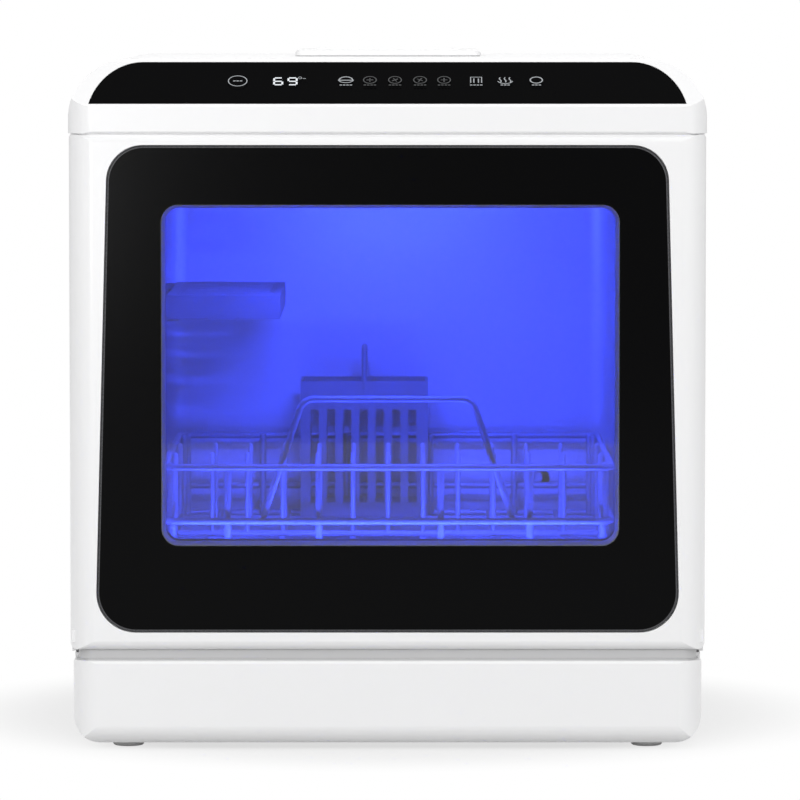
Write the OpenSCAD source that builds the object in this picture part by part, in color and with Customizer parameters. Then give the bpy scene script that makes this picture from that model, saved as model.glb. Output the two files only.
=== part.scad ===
// Countertop dishwasher with a built-in water tank. Millimetres.
// X runs to the right, Y to the back, Z up. The origin is on the table, under the middle of the whole.
// Inside the modules Y starts at the front face of the door; place() then moves the piece into the frame.

/* [Casing] */
// Width of the upper casing
body_w = 420; // [400:1:440]
// Depth from the door's front face to the outside of the back panel
body_d = 420; // [410:1:440]
// Height of the top surface above the table
top_h = 455; // [446:0.2:470]
// Radius of the two upper corners, seen from the front
corner_r = 40; // [30:1:44]
// Radius of the upright front edges
edge_r = 16; // [8:1:16.5]
// Wall of the casing mouldings
wall = 2.5; // [2:0.1:3]
// How far the base moulding stands in on each side
base_step = 2.5; // [1:0.5:5]
// Height of the top edge of the lower front panel
kick_h = 59.2; // [56:0.2:59.4]
// Radius of the lower corners of the base, seen from the front
base_r = 20; // [14:1:22]
// Radius of the base's lower front edge
base_edge_r = 12; // [6:0.5:13]
// Depth of the pieces that form the front, up to the side seam
front_d = 36; // [35:0.5:37]
// Height of the feet
foot_h = 4; // [3:0.5:6]
// Radius of a foot
foot_r = 10.5; // [8:0.5:12]

/* [Control panel] */
// Height of the sloping console
console_h = 29.5; // [27:0.5:34]
// Depth of the console, up to the seam of the top cover
console_d = 48; // [46:0.5:52]
// White margin at each end of the black glass
panel_margin = 13; // [11:1:30]
// Corner radius of the black glass
panel_r = 35.4; // [20:0.2:38]
// Thickness of the control glass
panel_t = 2; // [1.5:0.1:2.5]

/* [Door] */
// How far the door stands in on each side
door_step = 0.5; // [0:0.1:1]
// Height of the door's lower edge above the table
door_low = 66.4; // [63:0.2:67]
// Height of the casing above the door
head_h = 51; // [49:1:55]
// Height of the ridge along the door's upper front edge
door_ridge = 1.7; // [0.5:0.1:1.9]
// Depth of the door frame
door_d = 34; // [33:0.5:35]
// Radius of the door's long front edges
door_edge_r = 6; // [3:0.5:8]
// White margin beside the outer glass at its upper edge
glass_top_margin = 26; // [20:0.5:34]
// White margin beside the outer glass at its lower edge
glass_low_margin = 17.5; // [12:0.5:29]
// Corner radius of the outer glass
glass_r = 26; // [15:1:35]
// Thickness of the outer glass
glass_t = 4; // [3:0.1:4.5]
// Distance from the door's side to the clear window
window_side = 59; // [55:0.5:90]
// Distance from the door's upper edge to the clear window
window_head = 44.3; // [40:0.1:60]
// Distance from the door's lower edge to the clear window
window_sill = 68.8; // [63:0.1:75]
// Corner radius of the window
window_r = 11.5; // [8:0.5:16]
// Width of the ring around the window
bezel_w = 2.5; // [2:0.1:4]

/* [Hinges] */
// Distance from the door's front face to the hinge axis
pivot_y = 14; // [14:0.1:14.5]
// Height of the hinge axis above the table
pivot_z = 75; // [74.6:0.1:75.6]
// Distance of the hinge plates from the casing's side
hinge_in = 13; // [12.5:0.1:13.5]
// Thickness of a hinge plate
hinge_t = 2.5; // [2:0.1:3]
// Radius of a hinge pin
hinge_pin_r = 3; // [2.5:0.1:3.5]

/* [Chamber] */
// Space between the tub and the casing's side
tub_side = 45; // [44:0.5:50]
// Height of the tub's floor above the table
tub_floor = 98; // [97:0.5:99]
// Space between the tub's ceiling and the top of the casing
tub_head = 67; // [66:1:75]
// Space between the tub's back wall and the outside of the back panel
tub_rear = 35; // [34:1:45]
// Radius of the tub's upright back corners
tub_r = 20; // [12:1:26]
// Wall of the tub
tub_wall = 2; // [1.5:0.1:2.5]

/* [Spray arms] */
// Space between the lower spray arm's path and the tub's side
arm_gap = 27; // [25:1:50]
// Space between the upper spray arm's path and the tub's side
upper_gap = 43; // [39:1:60]
// Radius of the posts that the arms turn on
post_r = 9; // [8:0.5:10]

/* [Basket] */
// Space between the tub's side and the middle of the basket's side wires
basket_gap = 15; // [14:0.5:17]
// Distance from the door's front face to the basket's front wires
basket_front = 68; // [66:0.5:72]
// Space between the basket's back wires and the tub's back wall
basket_rear = 13; // [11:1:30]
// Radius of the frame wires
wire_r = 2.25; // [2:0.05:2.5]
// Height of the basket's top wire above the table
basket_rim = 182; // [170:0.5:190]
// Height of the basket handle's top bar above the table
handle_top = 227.5; // [205:0.5:240]
// Spacing of the plate tines
tine_step = 24; // [22:1:30]

/* [Cup shelf] */
// Distance from the tub's ceiling to the cup shelf's lower edge
shelf_drop = 110; // [104:1:122]
// Depth of the cup shelf, front to back
shelf_d = 200; // [160:1:210]
// Length of the shelf from its hinge to its free end
shelf_reach = 84; // [70:1:88]

/* [Filling lid] */
// Width of the lid on the top
lid_w = 128; // [110:1:140]
// Depth of the lid on the top
lid_d = 112; // [100:1:120]
// Height of the lid above the top surface
lid_rise = 4.5; // [4:0.1:6]

/* [Connections] */
// Radius of the threaded water inlet
inlet_r = 13.2; // [12:0.1:13.5]
// Radius of the drain outlet
drain_r = 9; // [8:0.1:10]
// Radius of the hole for the power cord
cord_r = 3.75; // [3:0.05:4.5]
// How far the connections stand out of the back panel
spigot_out = 12; // [8:1:16]

/* [Hidden] */
$fn = 64;
eps = 1;
fit = 0.3;
run = 0.06;
wire_lap = 0.4;
bend_step = 0.02;
total_d = body_d + spigot_out;
body_half = body_w / 2;
base_half = body_half - base_step;
door_half = body_half - door_step;
tub_half = body_half - tub_side;
tub_top = top_h - tub_head;
tub_back = body_d - tub_rear;
door_top = top_h - head_h;
ridge_z = door_top + door_ridge;
slope_low = top_h - console_h;
panel_half = body_half - panel_margin;
hinge_x = body_half - hinge_in;
back_in = body_d - wall;
front_seam = front_d + fit;
flange_y = front_d + 6;
flange_t = 2.5;
floor_top = foot_h + wall;
foot_x = base_half - 35.5;
foot_xs = [-foot_x, foot_x];
foot_ys = [32, body_d - 32];
top_screw_x = body_half - 90;
top_screw_xs = [-top_screw_x, top_screw_x];
screw_hole_r = 1.8;
casing_low = kick_h + 3;
casing_top = door_top + 2;
side_screw_zs = [90, casing_top / 2 + 29, casing_top - 32];
slope_y = 1.5;
slope_rise = top_h - 2 - slope_low;
slope_run = console_d - 4.5 - slope_y;
slope_a = atan2(slope_rise, slope_run);
glass_low = door_low + 12;
glass_high = door_top - 5.5;
window_x = 1.8;
window_low = door_low + window_sill;
window_top = door_top - window_head;
window_half = door_half - window_side;
front_wall = 7;
sleeve_wall = 7;
sleeve_end = door_d - 5.4;
liner_y = door_d + fit;
liner_t = 3.5;
liner_half = hinge_x - 8;
hinge_slot = hinge_t / 2 + 0.6;
toe_y = 5.5;
toe_t = 2;
toe_low = kick_h + 1;
lip_d = 5;
ridge_d = 11;
bracket_low = floor_top + 4.2;
plate_half = base_half - 24.5;
plate_y = 14;
shelf_z = toe_low - 4;
seal_w = 7;
cup_x0 = -62;
cup_x1 = -8;
cup_top = window_low - sleeve_wall - 9;
centre_y = (flange_y + tub_back) / 2;
arm_reach = tub_half - arm_gap;
upper_reach = tub_half - upper_gap;
basket_half = tub_half - basket_gap;
basket_end = tub_back - basket_rear;
rail_top = tub_floor + 26;
grid_z = rail_top + fit + wire_r;
handle_foot = 84.5;
handle_half = 56.5;
mid_z = grid_z + 19.2;
hoop_zs = [grid_z, mid_z, basket_rim];
basket_bend = 12;
butt = 0.04;
comb_z = grid_z + wire_r + 1.8 + butt;
sump_x = 75;
sump_y = centre_y + 50;
sump_r = 46;
sump_low = 50;
filter_r = 28;
heater_r = 38;
heater_gap = 12;
pump_y = sump_y;
pump_z = 45;
pump_r = 32;
pump_half = 15;
drain_z = 40;
outlet_x = base_half - 47.5;
valve_x = base_half - 97.5;
valve_z = 45;
gland_x = 37.5 - base_half;
gland_z = 45;
riser_y = tub_back + 16;
riser_z = tub_top + tub_wall + 12;
hose_r = 7.5;
hose_wall = 1.5;
shelf_z0 = tub_top - shelf_drop;
shelf_z1 = shelf_z0 + 16;
shelf_pin_x = -(tub_half - 8);
shelf_pin_z = shelf_z0 + 10;
shelf_front = 130;
lid_front = body_d - 218;
lid_axis_y = lid_front + lid_d + 5;
lid_axis_z = top_h + 2.5;
well_w = lid_w - 26;
well_d = lid_d - 18;
well_front = lid_front + 8;
funnel_low = riser_z + hose_r + 6;
tank_half_t = 17.5;
tank_x = -(tub_half + tub_wall + 1.5 + tank_half_t);
tank_back = body_d - 20;
board_half = panel_half - 72;
vent_top = top_h - 71;
fan_x0 = tub_half + tub_wall + 5;
fan_x1 = body_half - wall - 3;
fan_y = tub_back - 55;
fan_z = tub_top - 54;
fan_r = 36;
float_x = 57.5 - base_half;
float_y = tub_back - 55;
float_r = 13;
latch_y = flange_y + flange_t;
striker_z = door_top - 5;
lock_y = latch_y + 26;
lock_z = striker_z + 10;
white = [0.93, 0.93, 0.94];
steel = [0.72, 0.74, 0.76];

// ---- Helpers ----

module place() translate([0, -total_d / 2, 0]) children();

module both_sides() {
    children();
    mirror([1, 0, 0]) children();
}

// Stand a front-view outline (X, Z) up between two depths.
module front_extrude(y0, y1) translate([0, y1, 0]) rotate([90, 0, 0]) linear_extrude(y1 - y0) children();

// Stand a side-view outline (Y, Z) up between two widths.
module side_extrude(x0, x1) translate([x0, 0, 0]) rotate([90, 0, 90]) linear_extrude(x1 - x0) children();

// Raise a plan outline (X, Y) between two heights.
module plan_extrude(z0, z1) translate([0, 0, z0]) linear_extrude(z1 - z0) children();

// A box between two corners.
module block(x0, y0, z0, x1, y1, z1) translate([x0, y0, z0]) cube([x1 - x0, y1 - y0, z1 - z0]);

// Round bars along one axis, from their lower end.
module bar_x(r, x0, x1, y, z) translate([x0, y, z]) rotate([0, 90, 0]) cylinder(r = r, h = x1 - x0);
module bar_y(r, y0, y1, x, z) translate([x, y1, z]) rotate([90, 0, 0]) cylinder(r = r, h = y1 - y0);
module bar_z(r, z0, z1, x, y) translate([x, y, z0]) cylinder(r = r, h = z1 - z0);

function unit(v) = v / norm(v);
function bend_half(a, b, c) = acos(unit(a - b) * unit(c - b)) / 2;

// A polygon whose corners are true arcs, one radius for each corner.
module rounded_polygon(points, radii) {
    n = len(points);
    marks = [for (i = [0 : n - 1])
        let (a = points[(i + n - 1) % n], b = points[i], c = points[(i + 1) % n], h = bend_half(a, b, c))
        [b + unit(unit(a - b) + unit(c - b)) * radii[i] / sin(h),
         b + unit(a - b) * radii[i] / tan(h), b + unit(c - b) * radii[i] / tan(h)]];
    polygon([for (i = [0 : n - 1]) each (radii[i] > 0 ? [marks[i][1], marks[i][2]] : [points[i]])]);
    for (i = [0 : n - 1]) if (radii[i] > 0) translate(marks[i][0]) circle(r = radii[i]);
}

module rounded_box_outline(x0, y0, x1, y1, r) {
    rounded_polygon([[x0, y0], [x1, y0], [x1, y1], [x0, y1]], [r, r, r, r]);
}

// A round wire or pipe along straight runs with true bends between them. The runs reach a little way
// into the bends, which are a hair thicker.
module wire(points, bend, r) {
    last = len(points) - 1;
    cuts = [for (i = [0 : last]) (i == 0 || i == last) ? 0
        : bend / tan(bend_half(points[i - 1], points[i], points[i + 1]))];
    for (i = [0 : last - 1]) {
        along = unit(points[i + 1] - points[i]);
        lap0 = i == 0 ? 0 : wire_lap;
        lap1 = i == last - 1 ? 0 : wire_lap;
        straight(points[i] + along * (cuts[i] - lap0), points[i + 1] - along * (cuts[i + 1] - lap1), r);
    }
    for (i = [1 : last - 1]) elbow(points[i - 1], points[i], points[i + 1], bend, cuts[i], r);
}

module straight(a, b, r) {
    d = b - a;
    translate(a) rotate([0, acos(d[2] / norm(d)), atan2(d[1], d[0])]) cylinder(r = r, h = norm(d));
}

module elbow(a, b, c, bend, cut, r) {
    into = unit(a - b);
    out = unit(c - b);
    centre = b + unit(into + out) * bend / sin(bend_half(a, b, c));
    e1 = unit(b + into * cut - centre);
    n = unit(cross(e1, b + out * cut - centre));
    e2 = cross(n, e1);
    multmatrix([[e1[0], e2[0], n[0], centre[0]], [e1[1], e2[1], n[1], centre[1]],
        [e1[2], e2[2], n[2], centre[2]], [0, 0, 0, 1]])
        rotate_extrude(angle = 180 - 2 * bend_half(a, b, c)) translate([bend, 0]) circle(r = r + bend_step);
}

// A slab that lies a given depth under the sloping face of the console.
module slope_slab(d0, d1) {
    translate([0, slope_y, slope_low]) rotate([slope_a, 0, 0])
        block(-body_half, -60, -d1, body_half, 120, -d0);
}

// ---- Casing ----

module casing_outline(half, z0, z1, r) {
    rounded_polygon([[-half, z0], [half, z0], [half, z1], [-half, z1]], [0, 0, r, r]);
}

module base_outline(half, z0, z1, r, top_r) {
    rounded_polygon([[-half, z0], [half, z0], [half, z1], [-half, z1]], [r, r, top_r, top_r]);
}

module front_plan(half, depth, r) {
    rounded_polygon([[-half, 0], [half, 0], [half, depth], [-half, depth]], [r, r, 0, 0]);
}

module base_tray() {
    in = base_half - wall;
    color(white) place() difference() {
        union() {
            front_extrude(front_seam, back_in - fit) difference() {
                base_outline(base_half, foot_h, kick_h + 2, base_r, 0);
                base_outline(in, floor_top, kick_h + 4, base_r - wall, 0);
            }
            block(-plate_half, plate_y, foot_h, plate_half, front_seam + eps, floor_top);
            // pads under the hinge brackets
            both_sides() block(hinge_x - 15, front_seam, floor_top - eps, hinge_x - 4, pivot_y + 43,
                bracket_low);
            // legs for the sump, supports for the tank, and the guide of the leak float
            for (a = [90, 210, 330]) bar_z(4.5, floor_top - eps, sump_low - fit,
                sump_x + 32 * cos(a), sump_y + 32 * sin(a));
            for (y = [85, tank_back - 35]) block(tank_x - 12, y, floor_top - eps, tank_x + 12, y + 10,
                kick_h + 8.7);
            bar_z(3, floor_top - eps, floor_top + 32, float_x, float_y);
            // ribs
            for (y = [70, 130]) block(57.5 - base_half, y, floor_top - eps, base_half - 57.5, y + 2,
                floor_top + 4);
        }
        for (x = foot_xs, y = foot_ys) bar_z(4.1, 0, floor_top + eps, x, y);
    }
}

module kick_panel() {
    in = base_half - wall;
    color(white) place() difference() {
        intersection() {
            front_extrude(0, front_d) base_outline(base_half, foot_h, kick_h, base_r, 2);
            plan_extrude(0, kick_h + eps) front_plan(base_half, front_d, edge_r);
            side_extrude(-base_half, base_half) rounded_polygon([[0, foot_h], [front_d, foot_h],
                [front_d, kick_h], [0, kick_h]], [base_edge_r, 0, 0, 2]);
        }
        intersection() {
            front_extrude(wall, front_d + eps) base_outline(in, floor_top, shelf_z - wall, base_r - wall, 0);
            plan_extrude(0, kick_h) translate([0, wall]) front_plan(in, front_d, edge_r - wall);
            side_extrude(-in, in) rounded_polygon([[wall, floor_top], [front_d + eps, floor_top],
                [front_d + eps, kick_h], [wall, kick_h]], [base_edge_r - wall, 0, 0, 0]);
        }
        // opening in the bottom, which the tray's floor fills
        block(-plate_half - fit, plate_y - fit, foot_h - eps, plate_half + fit, front_d + eps,
            floor_top + fit);
        intersection() {
            block(-in, lip_d, shelf_z, in, front_d + eps, kick_h + eps);
            plan_extrude(0, kick_h + 2) translate([0, wall]) front_plan(in, front_d, edge_r - wall);
        }
        both_sides() block(hinge_x - 3.5, 28, shelf_z - 5, hinge_x + 3.5, front_d + eps, kick_h);
    }
}

module side_panel() {
    difference() {
        union() {
            block(door_half - wall, front_seam, casing_low, door_half, back_in - fit, casing_top);
            block(door_half - 14, back_in - fit - wall, casing_low + 4, door_half, back_in - fit,
                casing_top - 4);
        }
        for (z = side_screw_zs) bar_y(screw_hole_r, back_in - 6, back_in + 2, door_half - 8, z);
        // intake slots of the drying fan
        for (i = [-3 : 3]) block(body_half - 6, fan_y - 20, fan_z + i * 7 - 1.5, body_half + 2, fan_y + 20,
            fan_z + i * 7 + 1.5);
    }
}

module left_side_panel() {
    color(white) place() mirror([1, 0, 0]) side_panel();
}

module right_side_panel() {
    color(white) place() side_panel();
}

module top_cover() {
    low = casing_top + fit;
    in = body_half - wall;
    color(white) place() difference() {
        union() {
            intersection() {
                difference() {
                    front_extrude(console_d + fit, back_in - fit)
                        casing_outline(body_half, low, top_h, corner_r);
                    front_extrude(console_d - eps, back_in + eps)
                        casing_outline(in, low - eps, top_h - wall, corner_r - wall);
                }
                side_extrude(-body_half, body_half) rounded_polygon([[console_d, low], [back_in, low],
                    [back_in, top_h], [console_d, top_h]], [0, 0, 2, 0]);
            }
            // ears of the lid's hinge, and the bosses for the back screws
            both_sides() block(lid_w / 2 - 20, lid_axis_y - 2.4, top_h - eps, lid_w / 2 - 15,
                lid_axis_y + 2.4, lid_axis_z);
            both_sides() bar_x(2.4, lid_w / 2 - 20, lid_w / 2 - 15, lid_axis_y, lid_axis_z);
            for (x = top_screw_xs) block(x - 6, back_in - 14, top_h - 16, x + 6, back_in - fit, top_h - eps);
        }
        plan_extrude(top_h - 10, top_h + 1.5)
            rounded_box_outline(-well_w / 2, well_front, well_w / 2, well_front + well_d, 8);
        bar_x(1.2, -lid_w / 2, lid_w / 2, lid_axis_y, lid_axis_z);
        for (x = top_screw_xs) bar_y(screw_hole_r, back_in - 12, back_in + eps, x, top_h - 10);
    }
}

module console_profile() {
    rounded_polygon([[0, casing_top + fit], [console_d, casing_top + fit], [console_d, top_h],
        [console_d - 2, top_h], [slope_y + slope_run, top_h - 2], [slope_y, slope_low], [0, slope_low - 1.5]],
        [1.5, 0, 0, 0, 0, 0, 0]);
}

module front_fascia() {
    in = body_half - wall;
    low = casing_top + fit;
    color(white) place() difference() {
        intersection() {
            front_extrude(0, console_d) casing_outline(body_half, low, top_h, corner_r);
            plan_extrude(low - eps, top_h + eps) front_plan(body_half, console_d, edge_r);
            side_extrude(-body_half, body_half) console_profile();
        }
        // hollow, open to the back
        intersection() {
            front_extrude(wall, console_d + eps)
                casing_outline(in, low + wall, top_h - wall, corner_r - wall);
            plan_extrude(low, top_h) translate([0, wall]) front_plan(in, console_d, edge_r - wall);
            translate([0, slope_y, slope_low]) rotate([slope_a, 0, 0])
                block(-in, -60, -120, in, 120, -panel_t - wall - 0.5);
        }
        intersection() {
            front_extrude(-eps, console_d) panel_outline(0);
            slope_slab(-eps, panel_t + fit);
        }
        // clearance for the lock behind the door's upper edge
        block(-17, latch_y - 1, low - eps, 17, console_d + eps, low + wall + eps);
        // opening for the boards under the glass
        intersection() {
            front_extrude(-eps, console_d) block2(-board_half - 4, slope_low + 4, board_half + 4,
                slope_low + slope_rise - 5);
            slope_slab(0, 12);
        }
    }
}

module block2(x0, y0, x1, y1) translate([x0, y0]) square([x1 - x0, y1 - y0]);

// Outline of the black glass in the front view.
module panel_outline(gap) {
    half = panel_half - gap;
    top = slope_low + slope_rise - 0.3 - gap;
    intersection() {
        rounded_polygon([[-half, top - panel_r - 20], [half, top - panel_r - 20], [half, top], [-half, top]],
            [0, 0, panel_r - gap, panel_r - gap]);
        block2(-half, slope_low + 0.2 + gap, half, top);
    }
}

module control_glass() {
    color([0.02, 0.02, 0.02]) place() intersection() {
        front_extrude(-eps, console_d) panel_outline(fit);
        slope_slab(0, panel_t);
    }
}

module control_board() {
    color([0.1, 0.35, 0.2]) place() intersection() {
        front_extrude(-eps, console_d) block2(-board_half, slope_low + 5, board_half,
            slope_low + slope_rise - 6);
        slope_slab(panel_t + 3.4, panel_t + 5);
    }
}

module display_module() {
    color([0.12, 0.12, 0.13]) place() intersection() {
        front_extrude(-eps, console_d) block2(-80, slope_low + 7, -50, slope_low + slope_rise - 8);
        slope_slab(panel_t + 0.3, panel_t + 3.1);
    }
}

module back_panel() {
    color([0.86, 0.86, 0.87]) place() difference() {
        front_extrude(back_in, body_d) base_outline(base_half, foot_h, top_h - 2, base_r, corner_r - 2);
        both_sides() for (z = side_screw_zs)
            bar_y(screw_hole_r, back_in - eps, body_d + eps, door_half - 8, z);
        for (x = top_screw_xs) bar_y(screw_hole_r, back_in - eps, body_d + eps, x, top_h - 10);
        for (i = [0 : 11]) block(i * 10 - 57, back_in - eps, vent_top - 50, i * 10 - 53, body_d + eps,
            vent_top);
        bar_y(inlet_r + 0.4, back_in - eps, body_d + eps, valve_x, valve_z);
        bar_y(drain_r + 0.4, back_in - eps, body_d + eps, outlet_x, drain_z);
        bar_y(8, back_in - eps, body_d + eps, gland_x, gland_z);
    }
}

module feet() {
    color([0.45, 0.45, 0.46]) place() for (x = foot_xs, y = foot_ys) {
        bar_z(foot_r, 0, foot_h - 0.05, x, y);
        bar_z(3.9, foot_h - eps, foot_h + wall + 1.5, x, y);
    }
}

module back_screw(x, z) {
    bar_y(3.4, body_d + 0.05, body_d + 1.8, x, z);
    bar_y(1.5, back_in - 8, body_d + eps, x, z);
}

module case_screws() {
    color(steel) place() {
        both_sides() for (z = side_screw_zs) back_screw(door_half - 8, z);
        for (x = top_screw_xs) back_screw(x, top_h - 10);
    }
}

// ---- Filling ----

module fill_lid() {
    low = top_h + fit;
    high = top_h + lid_rise;
    half = lid_w / 2;
    color(white) place() difference() {
        union() {
            intersection() {
                plan_extrude(low, high) rounded_box_outline(-half, lid_front, half, lid_front + lid_d, 6);
                front_extrude(lid_front, lid_front + lid_d)
                    polygon([[-half, low], [half, low], [half, low + 1], [half - 5, high], [5 - half, high],
                        [-half, low + 1]]);
                side_extrude(-half, half) polygon([[lid_front, low], [lid_front + lid_d, low],
                    [lid_front + lid_d, high], [lid_front + 4, high], [lid_front, low + 1]]);
            }
            both_sides() for (x = [half - 26, half - 14.5])
                block(x, lid_front + lid_d - eps, low + 0.5, x + 5.5, lid_axis_y, lid_axis_z + 1.6);
            both_sides() for (x = [half - 26, half - 14.5]) bar_x(2.1, x, x + 5.5, lid_axis_y, lid_axis_z);
        }
        plan_extrude(low - eps, low + 2)
            rounded_box_outline(-half + 6, lid_front + 6, half - 6, lid_front + lid_d - 6, 5);
        bar_x(1.2 + run, -half, half, lid_axis_y, lid_axis_z);
    }
}

module lid_pin() {
    color(steel) place() both_sides() bar_x(1.2, lid_w / 2 - 26, lid_w / 2 - 9.5, lid_axis_y, lid_axis_z);
}

module fill_funnel() {
    top = top_h - wall - 0.1;
    color(white) place() difference() {
        union() {
            plan_extrude(funnel_low, top) rounded_box_outline(-well_w / 2 - 2, well_front - 2, well_w / 2 + 2,
                well_front + well_d + 2, 10);
            bar_x(5.8, -well_w / 2 - 16, -well_w / 2, well_front + well_d / 2, funnel_low + 9);
            // feet on the tub's ceiling
            for (x = [-40, 40], y = [well_front + 10, well_front + well_d - 10])
                bar_z(4, tub_top + tub_wall, funnel_low + eps, x, y);
        }
        plan_extrude(funnel_low + 2, top + eps)
            rounded_box_outline(-well_w / 2, well_front, well_w / 2, well_front + well_d, 8);
        bar_x(4.3, -well_w / 2 - 20, -well_w / 2 + 5, well_front + well_d / 2, funnel_low + 9);
    }
}

module fill_strainer() {
    x1 = well_w / 2 - 14;
    y0 = well_front + 14;
    y1 = well_front + well_d - 14;
    color(steel) place() difference() {
        block(-x1, y0, funnel_low + 2.1, x1, y1, funnel_low + 24);
        block(1.5 - x1, y0 + 1.5, funnel_low + 3.6, x1 - 1.5, y1 - 1.5, funnel_low + 30);
        for (i = [-4 : 4]) block(i * 7 - 2, y0 - eps, funnel_low + 6, i * 7 + 2, y1 + eps, funnel_low + 20);
    }
}

module fill_hose() {
    y = well_front + well_d / 2;
    z = funnel_low + 9;
    points = [[-well_w / 2 - 3, y, z], [tank_x, y, z], [tank_x, y, tub_top + 1]];
    ends = [[-well_w / 2 - 2, y, z], [tank_x, y, z], [tank_x, y, tub_top]];
    color([0.8, 0.8, 0.8]) place() difference() {
        wire(points, 12, 7.4);
        wire(ends, 12, 5.9);
    }
}

module water_tank() {
    y = well_front + well_d / 2;
    x0 = tank_x - tank_half_t;
    x1 = tank_x + tank_half_t;
    color([0.8, 0.88, 0.95]) place() difference() {
        union() {
            side_extrude(x0, x1) rounded_box_outline(60, kick_h + 9, tank_back, tub_top - 8, 14);
            bar_z(5.8, tub_top - 9, tub_top + 16, tank_x, y);
        }
        side_extrude(x0 + 2, x1 - 2) rounded_box_outline(62, kick_h + 11, tank_back - 2, tub_top - 10, 12);
        bar_z(4.3, tub_top - 12, tub_top + 20, tank_x, y);
    }
}

// ---- Tub ----

module tub_solid(grow, y0) {
    half = tub_half + grow;
    intersection() {
        front_extrude(y0, tub_back + grow)
            rounded_box_outline(-half, tub_floor - grow, half, tub_top + grow, 12 + grow);
        plan_extrude(tub_floor - 10, tub_top + 10)
            rounded_polygon([[-half, 0], [half, 0], [half, tub_back + grow], [-half, tub_back + grow]],
                [0, 0, tub_r + grow, tub_r + grow]);
    }
}

module tub() {
    edge = door_half - wall - 0.4;
    color(steel) place() difference() {
        union() {
            tub_solid(tub_wall, flange_y);
            front_extrude(flange_y, flange_y + flange_t) block2(-edge, casing_low + 2, edge, casing_top - 2);
        }
        tub_solid(0, flange_y - eps);
        bar_z(sump_r, tub_floor - 5, tub_floor + 5, sump_x, sump_y);
        bar_z(post_r + 0.1, tub_floor - 5, tub_floor + 5, 0, centre_y);
        bar_z(post_r + 0.1, tub_top - 5, tub_top + 5, 0, centre_y);
        bar_x(10, tub_half - 5, tub_half + 5, fan_y - 22, fan_z);
        bar_y(6, tub_back - 5, tub_back + 5, valve_x, 150);
        block(-11, flange_y - eps, striker_z - 1, 11, flange_y + flange_t + eps, casing_top);
    }
}

module tub_gasket() {
    half = tub_half + 2;
    color([0.3, 0.3, 0.32]) place() front_extrude(liner_y + liner_t + fit, flange_y - 0.05) difference() {
        rounded_box_outline(-half - seal_w, tub_floor - 2 - seal_w, half + seal_w, tub_top + 2 + seal_w, 19);
        rounded_box_outline(-half, tub_floor - 2, half, tub_top + 2, 12);
    }
}

module basket_rails() {
    color(steel) place() both_sides() {
        block(basket_half - 4, 60, rail_top - 2.5, tub_half - fit, tub_back - 16, rail_top);
        block(tub_half - 3, 60, rail_top - 16, tub_half - fit, tub_back - 24, rail_top - eps);
    }
}

module chamber_lamp() {
    color([0.4, 0.5, 1]) place() difference() {
        union() {
            block(-70, 60, tub_top - 4, 70, 74, tub_top - fit);
            block(-64, 62, tub_top - 6, 64, 72, tub_top - 4 + eps);
        }
        for (x = [-75, 66]) block(x, 66.5, tub_top - 5, x + 9, 67.5, tub_top);
    }
}

// ---- Door ----

module door_outline() {
    rounded_polygon([[-door_half, door_low], [door_half, door_low], [door_half, ridge_z],
        [-door_half, ridge_z]], [5, 5, 2, 2]);
}

module glass_outline(inset) {
    low = door_half - glass_low_margin - inset;
    high = door_half - glass_top_margin - inset;
    rounded_polygon([[-low, glass_low + inset], [low, glass_low + inset], [high, glass_high - inset],
        [-high, glass_high - inset]], [glass_r, glass_r, glass_r - 2, glass_r - 2]);
}

module window_outline(grow) {
    rounded_box_outline(window_x - window_half - grow, window_low - grow, window_x + window_half + grow,
        window_top + grow, window_r + grow);
}

module skirt_plan(inset) {
    translate([0, inset]) front_plan(door_half - inset, door_d, edge_r - inset);
}

module door_frame() {
    in = door_half - wall;
    color(white) place() difference() {
        union() {
            difference() {
                intersection() {
                    front_extrude(0, door_d) door_outline();
                    plan_extrude(door_low - eps, ridge_z + eps) front_plan(door_half, door_d, edge_r);
                    side_extrude(-door_half, door_half) rounded_polygon([[0, door_low], [door_d, door_low],
                        [door_d, door_top], [ridge_d, door_top], [ridge_d, ridge_z], [0, ridge_z]],
                        [door_edge_r, 0, 0, 0, 0, door_edge_r - 1]);
                }
                difference() {
                    block(-in, front_wall, door_low + wall, in, door_d + eps, door_top - wall);
                    both_sides() block(in - edge_r, 0, door_low, in + eps, edge_r, door_top);
                }
            }
            // skirt behind the groove, carried round the corners
            plan_extrude(toe_low, door_low + wall) intersection() {
                difference() {
                    skirt_plan(toe_y);
                    skirt_plan(toe_y + toe_t);
                }
                block2(-door_half, 0, door_half, pivot_y);
            }
            // knuckles around the hinge pins
            both_sides() for (x = [hinge_x - 8, hinge_x + 3.5]) {
                bar_x(5.6, x, x + 4.5, pivot_y, pivot_z);
                block(x, front_wall - eps, pivot_z - 5.5, x + 4.5, pivot_y, pivot_z + 5.6);
            }
            both_sides() block(hinge_x + 7, front_wall - eps, pivot_z - 4, in + eps, pivot_y + 4,
                pivot_z + 4);
        }
        front_extrude(-eps, glass_t + 0.7) glass_outline(-0.4);
        front_extrude(-eps, front_wall + eps) window_outline(18);
        // slots for the hinge plates
        both_sides() block(hinge_x - hinge_slot, toe_y + toe_t, toe_low - eps, hinge_x + hinge_slot,
            door_d + eps, pivot_z + 6);
        both_sides() bar_x(hinge_pin_r + run, hinge_x - 10, hinge_x + 10.5, pivot_y, pivot_z);
        // slot for the striker
        block(-9, door_d - 8, striker_z - 0.5, 9, door_d + eps, door_top + eps);
    }
}

module outer_glass() {
    color([0.05, 0.05, 0.06]) place() front_extrude(0.6, 0.6 + glass_t) glass_outline(0);
}

module door_core() {
    y0 = glass_t + 1;
    color([0.06, 0.06, 0.07]) place() difference() {
        union() {
            front_extrude(y0, front_wall) window_outline(17.7);
            front_extrude(y0, sleeve_end) window_outline(sleeve_wall);
        }
        front_extrude(y0 - eps, sleeve_end + eps) window_outline(fit);
    }
}

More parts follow.
